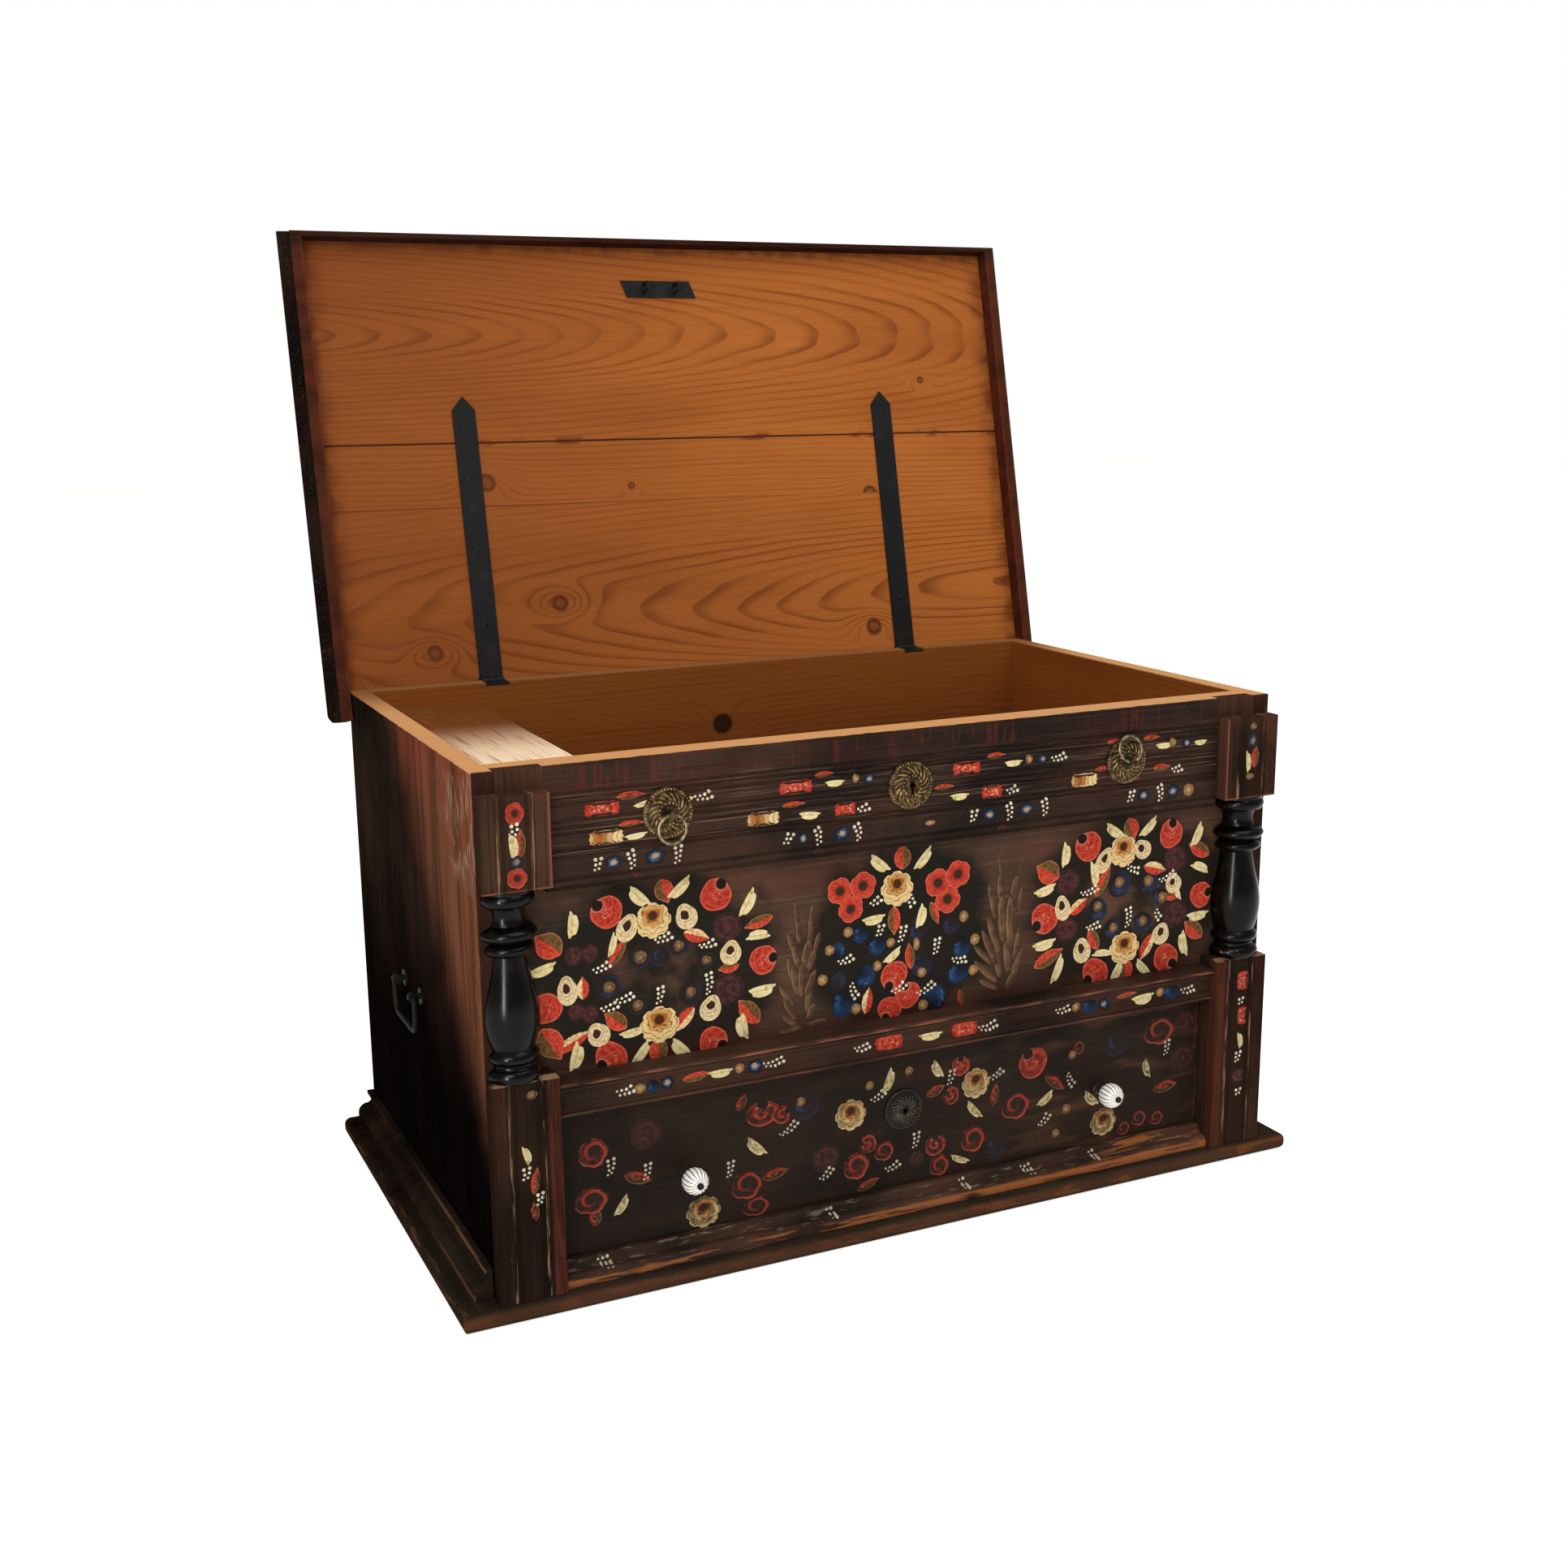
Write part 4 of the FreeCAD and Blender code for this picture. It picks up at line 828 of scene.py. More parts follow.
def makeKnob():
    rings = knobLook["profile"]
    knob = disc(knobLook["ribs"] * 4, rings[0][0] * mm, "NGON")
    for (radius, reach), (lastRadius, lastReach) in zip(rings[1:], rings):
        share = radius / lastRadius
        drawnRings((0, (lastReach - reach) * mm, 0), (share, 1, share), (0, 0, 0))
    pick(knob, inFlute)
    bpy.ops.transform.resize(value=(knobLook["cut"], 1, knobLook["cut"]), center_override=(0, 0, 0))
    closedUp(knob)
    grooveAndShade = knob.data.attributes.new("grooveAndShade", "FLOAT", "POINT").data
    # the flutes are dark, and the neck is painted dark as shade behind the ball
    neck = -knobLook["neckTo"] * mm
    dark = [float(inFlute(point.co) or point.co.y > neck) for point in knob.data.vertices]
    grooveAndShade.foreach_set("value", dark)
    applied(knob, "SUBSURF", levels=1, render_levels=1)
    knob.data.materials.append(finishes["porcelain"])
    return knob


def placed(model, name, place, scale=(1, 1, 1)):
    piece = copyOf(model, name)
    piece.location = place
    piece.scale = scale
    soleSelection(piece)
    return settled()


knobModel = makeKnob()
for node in ("knob_left", "knob_right"):
    low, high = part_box(node)
    knob = placed(knobModel, camel(node), ((low.x + high.x) / 2, drawerFaceY, (low.z + high.z) / 2))
    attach(knob, "drawer")
    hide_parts(node)
bpy.data.objects.remove(knobModel)
print("knobs fluted")


# Swirls and beads cast on the rosettes, in millimetres from the middle of a plate: a rib's radius and size
# at each step, its swirl in degrees, and rows of beads by radius, count and size
rosetteLook = {"radius": 31, "rim": 1.5, "crown": 5, "ribSides": 6, "beadSides": 8, "beadRings": 5}
castLooks = {
    "frieze": {"ribs": 18, "path": (15.5, 17.5, 20, 22.5, 24.5), "sizes": (0.7, 1.3, 1.7, 1.5, 0.8),
               "swirl": 26, "beads": ((28.2, 44, 1.15), (12.6, 16, 1.3))},
    "drawer": {"ribs": 20, "path": (7, 12, 17, 22, 26), "sizes": (0.6, 1.2, 1.8, 2.2, 1.2),
               "swirl": 48, "beads": ((29, 60, 0.9),)},
}


def domeY(radius):
    return -(rosetteLook["rim"] + rosetteLook["crown"] * (1 - (radius / rosetteLook["radius"]) ** 2)) * mm


def makeRib(look):
    places = []
    for number, radius in enumerate(look["path"]):
        angle = math.radians(look["swirl"]) * number / (len(look["path"]) - 1)
        places.append(Vector((radius * math.cos(angle) * mm, domeY(radius), radius * math.sin(angle) * mm)))
    sizes = look["sizes"]
    rib = disc(rosetteLook["ribSides"], sizes[0] * mm, "NGON", (0, math.pi / 2, 0))
    bpy.ops.transform.translate(value=places[0])
    for number in range(1, len(places)):
        share = sizes[number] / sizes[number - 1]
        drawnRings(places[number] - places[number - 1], (1, share, share), places[number])
    closedUp(rib)
    return rib


def makeBead(size, radius):
    bpy.ops.object.select_all(action="DESELECT")
    bpy.ops.mesh.primitive_uv_sphere_add(
        segments=rosetteLook["beadSides"], ring_count=rosetteLook["beadRings"], radius=size * mm)
    bead = bpy.context.object
    bpy.ops.object.mode_set(mode="EDIT")
    bpy.ops.mesh.select_all(action="SELECT")
    bpy.ops.transform.translate(value=(radius * mm, domeY(radius), 0))
    closedUp(bead)
    return bead


def ringOf(model, count):
    copies = [model]
    for number in range(1, count):
        piece = copyOf(model, model.name)
        piece.rotation_euler = (0, math.tau * number / count, 0)
        copies.append(piece)
    return copies


def joined(pads, name):
    bpy.ops.object.select_all(action="DESELECT")
    for pad in pads:
        pad.select_set(True)
    bpy.context.view_layer.objects.active = pads[0]
    bpy.ops.object.join()
    piece = settled()
    piece.name = name
    return piece


def castRosette(look):
    castings = ringOf(makeRib(look), look["ribs"])
    for radius, count, size in look["beads"]:
        castings += ringOf(makeBead(size, radius), count)
    return joined(castings, "rosetteModel")


def layRelief(model, node, seat, finish):
    low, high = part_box(node)
    share = (high.x - low.x) / (2 * rosetteLook["radius"] * mm)
    place = ((low.x + high.x) / 2, seat, (low.z + high.z) / 2)
    relief = placed(model, camel(node) + "Relief", place, (share, 1, share))
    relief.data.materials.append(finishes[finish])
    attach(relief, nodes[node]["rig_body"])


friezeModel = castRosette(castLooks["frieze"])
for node in ("pull_plate_left", "pull_plate_right", "chest_escutcheon"):
    layRelief(friezeModel, node, faceY, "gilt")
drawerModel = castRosette(castLooks["drawer"])
layRelief(drawerModel, "drawer_escutcheon", drawerFaceY, "rubbedPlate")
for model in (friezeModel, drawerModel):
    bpy.data.objects.remove(model)
print("rosettes cast")


# Folk painting: each motif is modelled once as a flat pad facing the front, then laid on its board
padLook = {
    "sunk": 0.12 * mm,
    "thick": 0.2 * mm,
    "lift": 0.9 * mm,  # at the last of the levels
    "steps": 16,
    "levels": 150,
    "clear": 30 * mm,
    "reedFade": 0.3,
}


def pushed(piece, test, scale=(1, 1, 1), shift=(0, 0, 0)):
    pick(piece, test)
    bpy.ops.transform.resize(value=scale, center_override=(0, 0, 0))
    bpy.ops.transform.translate(value=shift)
    bpy.ops.object.mode_set(mode="OBJECT")


def discPad(sides, cuts=1):
    pad = disc(sides, 1, "TRIFAN")
    if cuts:
        bpy.ops.mesh.subdivide(number_cuts=cuts)
    bpy.ops.object.mode_set(mode="OBJECT")
    return pad


def lobed(sides, lobes, notch):
    def between(p, depth):
        return p.length > 0.8 and math.cos(lobes * math.atan2(p.z, p.x)) < depth

    pad = discPad(sides)
    for depth in (-0.2, -0.75):
        pushed(pad, lambda p: between(p, depth), (notch, 1, notch))
    return pad


def roundPad():
    return lobed(30, 3, 0.97)


def dropPad():
    pad = discPad(24)
    pushed(pad, lambda p: p.z > 0.55, (0.8, 1, 1), (0, 0, 0.22))
    return pad


def halfMoonPad():
    pad = discPad(24)
    pushed(pad, lambda p: p.z > 0.02, (1, 1, 0.25))
    pushed(pad, lambda p: abs(p.x) > 0.75, (1, 1, 0.55), (0, 0, 0.03))
    pushed(pad, lambda p: p.x > 0.9, (1, 1, 1), (0.06, 0, 0.03))
    pushed(pad, lambda p: True, (1, 1, 1.4), (0, 0, 0.4))
    return pad


def leafPad():
    pad = discPad(24)
    pushed(pad, lambda p: p.x > 0.7, (1, 1, 0.75), (0.1, 0, 0))
    pushed(pad, lambda p: p.x > 1.02, (1, 1, 0.6), (0.16, 0, 0))
    pushed(pad, lambda p: p.x < -0.85, (1, 1, 0.7), (-0.08, 0, 0))
    return pad


def strokePad():
    pad = discPad(16)
    pushed(pad, lambda p: p.x > 0.6, (1, 1, 0.75))
    return pad


def blockPad():
    pad = discPad(28)
    pushed(pad, lambda p: abs(p.x) > 0.5 and abs(p.z) > 0.5, (1.16, 1, 1.2))
    return pad


# The colours of each motif, by its own axes a and b, which run from -1 to 1
def wave(value, count):
    return (value * count).maths("SINE")


def ringed(value, count):
    return (value * count).maths("FRACT")


def poppyTones(a, b, spot):
    edge = away(a, b)
    hole = away(a, b, 0, 0.72)
    paint = {"colour": spot.mottle(0.004, (148, 34, 24), (190, 58, 38))}
    overlay(paint, wave(hole, 15).rise(0.6, 0.95) * 0.35, (208, 92, 66))
    overlay(paint, edge.band(0.88, 0.97, 0.03) * 0.4, (212, 124, 98))
    speck = spot.noise(0.0022, 2).rise(0.6, 0.66) * edge.fall(0.25, 0.5)
    overlay(paint, speck * 0.8, (236, 190, 160))
    overlay(paint, hole.band(0.36, 0.43, 0.02) * 0.45, (222, 150, 124))
    return overlay(paint, hole.fall(0.3, 0.36), (26, 17, 13))


def coralTones(a, b, spot):
    edge = away(a, b)
    paint = {"colour": spot.mottle(0.005, (164, 44, 31), (196, 66, 45))}
    line = edge.band(0.9, 0.98, 0.03).most(wave(edge, 19).rise(0.86, 0.98) * 0.6)
    overlay(paint, line * 0.5, (216, 116, 88))
    overlay(paint, edge.fall(0.4, 0.46), (140, 36, 27))
    return overlay(paint, edge.fall(0.28, 0.34), (46, 38, 24))


def roseTones(a, b, spot):
    heart = away(a, b, 0, 0.28)
    petal = heart + wave(b.maths("ARCTAN2", a), 5) * 0.08 + (spot.noise(0.008, 2) - 0.5) * 0.5
    paint = {"colour": petal.rise(0.25, 0.8).blend((176, 104, 34), (222, 190, 128))}
    smear = spot.noise(0.008, 3).rise(0.52, 0.66) * heart.fall(0.5, 0.95)
    overlay(paint, smear * 0.7, (190, 92, 30))
    overlay(paint, ringed(petal, 3.4).fall(0.1, 0.22) * 0.85, (84, 50, 22))
    overlay(paint, away(a, b).rise(0.9, 0.97) * 0.4, (234, 214, 166))
    return overlay(paint, heart.fall(0.2, 0.34), (66, 34, 18))


def smallRoseTones(a, b, spot):
    heart = away(a, b, -0.08, 0.27) + (spot.noise(0.006, 2) - 0.5) * 0.35
    paint = {"colour": spot.mottle(0.004, (226, 206, 162), (196, 164, 112), 0.35, 0.7)}
    ring = heart.band(0.58, 0.64, 0.03).most(heart.band(0.86, 0.9, 0.03))
    overlay(paint, ring * 0.7, (104, 72, 46))
    return overlay(paint, heart.fall(0.34, 0.42), (50, 30, 20))


def creamLeafTones(a, b, spot):
    paint = {"colour": spot.mottle(0.005, (226, 210, 158), (202, 176, 116), 0.4, 0.7)}
    vein = abs(b + 0.25 + a * a * 0.25)
    return overlay(paint, vein.fall(0.04, 0.1) * 0.5, (150, 118, 70))


def redLeafTones(a, b, spot):
    red = spot.mottle(0.004, (166, 46, 32), (204, 74, 50))
    olive = spot.mottle(0.004, (84, 58, 28), (118, 84, 44))
    paint = {"colour": b.rise(-0.12, -0.02).blend(olive, red)}
    return overlay(paint, away(a, b).band(0.9, 0.98, 0.03) * 0.35, (220, 140, 104))


def mixLeafTones(a, b, spot):
    red = spot.mottle(0.004, (160, 44, 32), (200, 70, 48))
    cream = spot.mottle(0.004, (196, 140, 84), (230, 208, 160))
    return {"colour": b.rise(0.0, 0.16).blend(red, cream)}


def reedTones(a, b, spot):
    paint = {"colour": spot.mottle(0.012, (86, 60, 42), (122, 90, 62))}
    overlay(paint, (b * -1).rise(0.1, 0.5) * 0.6, (64, 45, 33))
    overlay(paint, b.band(0.35, 0.7, 0.1) * 0.5, (150, 116, 80))
    return overlay(paint, away(a, b).rise(0.86, 0.96) * 0.7, (36, 26, 20))


def berryTones(a, b, spot):
    edge = away(a, b)
    paint = {"colour": b.rise(-0.8, 0.5).blend((22, 46, 74), (12, 19, 28))}
    glow = edge.band(0.25, 0.62, 0.12) * (a * -1).rise(-0.1, 0.5) * spot.noise(0.008, 2).rise(0.35, 0.55)
    overlay(paint, glow * 0.75, (34, 76, 126))
    moon = edge.band(0.6, 0.8, 0.06) * (a * -1).rise(0.2, 0.7) * spot.noise(0.005, 2).rise(0.42, 0.6)
    return overlay(paint, moon * 0.6, (84, 108, 150))


def ochreDotTones(a, b, spot):
    edge = away(a, b)
    paint = {"colour": spot.mottle(0.003, (118, 84, 48), (162, 124, 80))}
    overlay(paint, edge.fall(0.3, 0.45), (176, 136, 100))
    return overlay(paint, edge.rise(0.72, 0.9) * 0.7, (88, 62, 40))


def plumTones(a, b, spot):
    edge = away(a, b)
    paint = {"colour": spot.mottle(0.006, (48, 28, 27), (86, 42, 42), 0.4, 0.62)}
    overlay(paint, wave(edge, 12).rise(0.7, 0.95) * 0.35, (106, 56, 54))
    return overlay(paint, edge.rise(0.6, 1.0) * 0.6, (38, 28, 25))


def redBlockTones(a, b, spot):
    a, b = abs(a), abs(b)
    paint = {"colour": spot.mottle(0.005, (146, 36, 27), (188, 60, 44))}
    stroke = wave(a * 1.4 + b * 0.6 + spot.noise(0.006, 2) * 0.5, 11).rise(0.55, 0.9)
    overlay(paint, stroke * 0.35, (206, 104, 80))
    speck = spot.noise(0.0032, 2).rise(0.56, 0.64) * b.fall(0.4, 0.75) * a.fall(0.5, 0.8)
    overlay(paint, speck * 0.7, (218, 170, 124))
    return overlay(paint, b.rise(0.78, 0.95) * 0.35, (206, 110, 86))


def roseBlockTones(a, b, spot):
    petal = abs(a + 0.35) + (spot.noise(0.006, 2) - 0.5) * 0.3
    paint = {"colour": petal.rise(0.1, 0.9).blend((158, 94, 38), (220, 190, 134))}
    overlay(paint, ringed(petal, 3.2).fall(0.12, 0.28) * 0.7, (100, 64, 30))
    return overlay(paint, abs(b).rise(0.7, 0.95) * 0.6, (238, 216, 170))


def blueFlowerTones(a, b, spot):
    rough = away(a, b) + (spot.noise(0.005, 2) - 0.5) * 0.7
    paint = {"colour": rough.rise(0.3, 0.8).blend((62, 90, 116), (18, 27, 40))}
    return overlay(paint, rough.fall(0.26, 0.4), (176, 136, 96))


def beadTones(a, b, spot):
    return {"colour": spot.noise(0.004, 2).rise(0.35, 0.65).blend((236, 226, 204), (204, 188, 158))}


# kind: its pad, its colours and how high it lies over the others
motifs = {
    "plum": (roundPad, plumTones, 0),
    "berry": (roundPad, berryTones, 1),
    "reed": (strokePad, reedTones, 1),
    "redLeaf": (leafPad, redLeafTones, 2),
    "mixLeaf": (leafPad, mixLeafTones, 2),
    "creamLeaf": (halfMoonPad, creamLeafTones, 3),
    "redBlock": (blockPad, redBlockTones, 3),
    "roseBlock": (blockPad, roseBlockTones, 3),
    "blueFlower": (lambda: lobed(30, 5, 0.9), blueFlowerTones, 3),
    "poppy": (roundPad, poppyTones, 4),
    "coral": (lambda: lobed(40, 5, 0.95), coralTones, 4),
    "smallRose": (dropPad, smallRoseTones, 5),
    "rose": (lambda: lobed(48, 8, 0.95), roseTones, 6),
    "ochreDot": (roundPad, ochreDotTones, 7),
    "bead": (lambda: discPad(8, 0), beadTones, 8),
}


def motifLayer(spot, tones):
    flat = spot.node("ShaderNodeUVMap", {"uv_map": "UVMap"})
    a = flat.part("x") * 2 - 1
    b = flat.part("y") * 2 - 1
    wear = spot.noise(0.005, 4)
    stroke = wave(away(a, b) * 10 + b.maths("ARCTAN2", a), 1).rise(0.1, 0.8)  # the brush left more here
    worn = 0.17 + spot.attribute("fade") * (0.35 + wear) * (1.2 - 0.6 * stroke)
    paint = overlay(tones(a, b, spot), worn.most(wear.rise(0.66, 0.7) * 0.6), paintLook["ground"])
    return {**paint, "roughness": 0.4 + wear * 0.25, "relief": wear, "depth": 0.1 * mm}


stock = {}
for kind, motif in motifs.items():
    stock[kind] = motif[0]()
    stock[kind].name = kind + "Stock"
    stock[kind].data.materials.append(mixed(kind + "Paint", motifLayer, dry, motif[1]))
print("motifs modelled:", len(stock))

# Where the motifs lie: kind, how faded, then rows of x, z, width, height and, where there is one, turn
leftWreath = (
    ("poppy", 0, (
        (-392, 471, 41, 41, 50), (-254, 474, 42, 42, -30), (-470, 365, 38, 42, 95),
        (-193, 384, 38, 38, -85),
        (-392, 291, 46, 40, 120), (-261, 291, 38, 38, -120))),
    ("redLeaf", 0, (
        (-463, 440, 34, 32, 140), (-380, 419, 34, 13, 55), (-320, 488, 27, 24, -72),
        (-197, 433, 34, 15, 195),
        (-466, 322, 40, 32, -60), (-384, 336, 30, 22, 140), (-212, 320, 36, 24, 130),
        (-332, 291, 28, 24, 90))),
    ("mixLeaf", 0, ((-281, 427, 30, 17, -20), (-298, 325, 34, 17, 225), (-424, 382, 24, 15, 90),
                    (-440, 318, 44, 16, 25))),
    ("creamLeaf", 0, (
        (-434, 461, 32, 15, 85), (-352, 484, 34, 17, -45), (-300, 488, 37, 15, 40), (-212, 458, 38, 16, 60),
        (-386, 430, 30, 10, 75), (-472, 412, 34, 15, 15), (-199, 416, 32, 14, 180), (-195, 345, 36, 17, 5),
        (-364, 319, 34, 12, 8), (-222, 303, 34, 18, -80), (-435, 300, 36, 18, 75), (-354, 291, 34, 14, 50),
        (-304, 289, 32, 17, -45))),
    ("rose", 0, ((-335, 453, 46, 44), (-330, 323, 50, 46))),
    ("smallRose", 0, (
        (-368, 447, 26, 32, -25), (-292, 451, 28, 30, 20), (-443, 381, 25, 33, 5), (-236, 398, 28, 28, -10),
        (-406, 322, 28, 28, 30), (-264, 332, 28, 30, -20))),
    ("redLeaf", 0, ((-238, 381, 24, 14, 185),)),
    ("plum", 0.2, (
        (-434, 424, 24, 24), (-414, 424, 22, 24), (-240, 432, 40, 38), (-433, 355, 22, 22),
        (-416, 350, 22, 22), (-240, 355, 42, 42))),
    ("berry", 0.84, (
        (-352, 411, 32, 30), (-303, 418, 26, 26), (-392, 378, 36, 32, 90), (-357, 352, 24, 24),
        (-289, 358, 34, 30, 60), (-268, 395, 22, 22), (-328, 408, 28, 26, -40))),
    ("ochreDot", 0.5, (
        (-352, 411, 17, 17), (-303, 418, 14, 15), (-392, 380, 16, 15), (-357, 352, 14, 15),
        (-289, 358, 14, 14), (-268, 395, 14, 12))),
)
rightWreath = (
    ("poppy", 0, (
        (278, 471, 42, 42, 40), (411, 473, 38, 42, -10), (212, 381, 44, 42, 125), (464, 381, 38, 36, -80),
        (294, 294, 46, 40, 125), (409, 299, 40, 42, -130))),
    ("redLeaf", 0, (
        (217, 443, 34, 32, 150), (302, 418, 38, 16, 60), (346, 488, 27, 24, -72), (460, 445, 34, 20, 150),
        (218, 325, 42, 20, 25), (290, 342, 32, 17, 115), (455, 332, 34, 24, 140), (343, 291, 28, 24, -90))),
    ("mixLeaf", 0, ((385, 428, 32, 18, -15), (377, 320, 34, 18, 240), (264, 390, 28, 17, 35))),
    ("creamLeaf", 0, (
        (243, 463, 34, 15, 85), (319, 487, 34, 15, -35), (374, 486, 36, 14, 42), (455, 466, 36, 15, 65),
        (212, 419, 34, 15, 15), (289, 432, 36, 14, 100), (462, 420, 32, 14, 155), (212, 345, 36, 16, 8),
        (305, 320, 32, 11, 175), (234, 308, 42, 14, 68), (438, 315, 38, 16, -78), (460, 352, 36, 15, 2),
        (329, 291, 30, 15, 60), (371, 291, 30, 14, -45), (425, 390, 26, 9, -70))),
    ("rose", 0, ((334, 458, 44, 44), (340, 323, 48, 46))),
    ("smallRose", 0, (
        (303, 447, 24, 34, -30), (366, 456, 26, 26, 40), (240, 390, 24, 32, 10), (272, 327, 28, 32, 5),
        (399, 333, 28, 28, -20), (418, 402, 26, 26, 15))),
    ("redLeaf", 0, ((416, 386, 22, 14, 190),)),
    ("plum", 0.2, ((247, 425, 38, 38), (247, 361, 36, 34), (420, 437, 40, 40), (422, 360, 40, 40))),
    ("berry", 0.5, (
        (329, 413, 38, 36, 90), (376, 410, 36, 34, 90), (295, 382, 34, 32, 90), (396, 388, 24, 24),
        (319, 352, 28, 28, 70), (369, 356, 30, 28))),
    ("ochreDot", 0.35, (
        (329, 416, 16, 16), (376, 412, 17, 16), (295, 387, 15, 15), (400, 386, 16, 17),
        (321, 354, 14, 15), (369, 357, 14, 15))),
)
bouquet = (
    ("coral", 0, (
        (-88, 457, 36, 35), (-56, 460, 37, 36, 20), (-73, 432, 36, 34, 40), (51, 450, 38, 38, 10),
        (80, 458, 38, 36, 35), (65, 427, 38, 38, 60))),
    ("creamLeaf", 0, (
        (-33, 485, 34, 16, -40), (30, 484, 36, 14, 48), (-41, 414, 32, 14, 5), (27, 409, 32, 15, 75),
        (-14, 363, 30, 12, 35))),
    ("redLeaf", 0, ((0, 489, 28, 24, 90), (-12, 410, 32, 18, -90), (46, 412, 28, 12, -70),
                    (11, 358, 30, 14, 95))),
    ("mixLeaf", 0, ((-50, 308, 30, 15, 80), (-8, 288, 18, 9, 40))),
    ("redLeaf", 0.25, ((86, 292, 18, 9, 100),)),
    ("rose", 0, ((-8, 450, 46, 46),)),
    ("poppy", 0, ((-12, 336, 38, 42, 150), (-18, 293, 36, 34, 150), (8, 308, 38, 36, 20))),
    ("berry", 0, (
        (-60, 398, 22, 24), (-91, 379, 22, 24, 180), (-36, 380, 26, 26), (-54, 342, 30, 32, 90),
        (-84, 311, 35, 36), (87, 360, 28, 26), (81, 327, 32, 30), (47, 297, 36, 36, 180))),
    ("berry", 0.6, ((28, 347, 34, 34), (70, 392, 26, 24), (-90, 340, 24, 26, 180), (20, 390, 24, 24))),
    ("ochreDot", 0, (
        (-77, 403, 14, 14), (-103, 383, 14, 14), (-113, 346, 15, 15), (-36, 353, 13, 14),
        (-66, 301, 15, 15), (89, 401, 14, 16), (106, 368, 15, 16), (-17, 381, 13, 13),
        (28, 335, 14, 14), (104, 327, 15, 15), (30, 291, 15, 15), (20, 374, 10, 18))),
)
# x, z, turn and count of the strings of white beads
panelStrings = (
    (-400, 404, 20, 4), (-322, 429, 15, 4), (-266, 413, 8, 4), (-392, 354, 12, 4), (-328, 360, 82, 4),
    (-264, 365, 88, 5), (-372, 362, 15, 4), (282, 408, 15, 5), (408, 412, 20, 5), (346, 365, 88, 5),
    (289, 359, 12, 4), (350, 431, -25, 4), (393, 362, -60, 3), (-80, 366, 15, 4), (-70, 325, -70, 4),
    (-32, 399, 70, 3), (0, 390, 75, 4), (50, 367, 80, 4), (83, 343, -5, 4), (35, 311, 28, 5),
    (-4, 318, 30, 4),
    (-38, 437, 25, 3), (12, 432, -70, 3),
)
# foot x and z, tip x and z, and width of the reeds' leaves
reedLeaves = (
    (-145, 405, -149, 454, 8), (-130, 398, -126, 447, 8), (-144, 398, -146, 428, 9),
    (-132, 392, -126, 420, 8),
    (-152, 386, -160, 416, 8), (-146, 368, -152, 397, 11), (-124, 382, -116, 409, 8),
    (-138, 364, -130, 402, 15),
    (-149, 340, -161, 384, 11), (-147, 330, -154, 374, 12), (-132, 360, -123, 388, 11),
    (-142, 326, -141, 374, 11),
    (-137, 328, -122, 362, 10), (-151, 316, -173, 348, 9), (-149, 299, -167, 331, 11),
    (-133, 296, -124, 318, 13),
    (-148, 292, -169, 310, 11), (-140, 291, -174, 287, 9), (-137, 290, -106, 293, 9),
    (-135, 306, -130, 342, 11),
    (145, 444, 139, 486, 3), (169, 438, 179, 474, 3), (145, 412, 143, 452, 11), (161, 404, 170, 448, 15),
    (172, 394, 176, 430, 7), (137, 390, 126, 439, 9), (149, 356, 146, 426, 16), (161, 344, 159, 422, 18),
    (144, 342, 124, 400, 12), (140, 328, 116, 380, 11), (133, 330, 104, 360, 9), (142, 304, 105, 339, 12),
    (143, 295, 112, 312, 9), (166, 328, 174, 376, 10), (160, 304, 181, 348, 11), (154, 293, 173, 321, 13),
    (145, 308, 138, 359, 13), (158, 312, 154, 366, 14),
)
friezeRows = (
    ("redBlock", 0, ((-400, 599, 43, 17), (-156, 599, 44, 17), (80, 599, 40, 17), (-90, 565, 28, 17),
                     (117, 565, 30, 17))),
    ("redBlock", 0.3, ((330, 566, 26, 16),)),
    ("roseBlock", 0, ((-396, 565, 42, 17), (-199, 565, 42, 17), (256, 566, 40, 17))),
    ("redLeaf", 0, (
        (-366, 611, 30, 9, 2), (-119, 611, 22, 7, 2), (122, 611, 24, 7, 2), (303, 612, 24, 7, 2),
        (359, 612, 22, 7, 2), (-366, 578, 28, 7, 2), (-160, 578, 26, 7, 2), (47, 578, 24, 7, 2),
        (286, 578, 26, 7, 2), (377, 571, 24, 8, 2))),
    ("creamLeaf", 0, (
        (-350, 600, 24, 7, 15), (-104, 599, 26, 9), (148, 599, 26, 9), (380, 600, 26, 9),
        (439, 599, 20, 8), (-360, 563, 28, 8, 5), (-138, 563, 28, 11, -5), (70, 564, 26, 10),
        (-296, 600, 18, 6))),
    ("ochreDot", 0, ((-76, 602, 10, 11), (171, 602, 11, 12), (394, 603, 11, 12), (422, 536, 18, 18),
                     (28, 535, 16, 7))),
    ("blueFlower", 0, (
        (-57, 600, 15, 14), (192, 600, 16, 14), (417, 600, 16, 14), (-388, 535, 20, 17),
        (-337, 536, 26, 20, 15), (-147, 535, 14, 15), (-94, 535, 24, 18, 15), (114, 536, 20, 17),
        (169, 537, 24, 18, 15), (350, 536, 20, 17), (397, 537, 22, 18, 15))),
    ("plum", 0, ((-362, 517, 18, 8), (-126, 517, 14, 7), (134, 517, 16, 8), (373, 517, 16, 8))),
)
friezeStrings = (
    (-407, 535, 75, 3), (-365, 536, 100, 4), (-308, 535, 85, 4), (-166, 537, 60, 3), (-126, 536, 100, 4),
    (-72, 535, 100, 4), (91, 537, 75, 3), (144, 537, 95, 4), (197, 537, 95, 4), (330, 537, 75, 3),
    (377, 537, 95, 4), (-275, 600, 10, 4), (216, 599, 10, 4), (-65, 563, 15, 3), (147, 564, 15, 3),
    (402, 566, 15, 3),
)
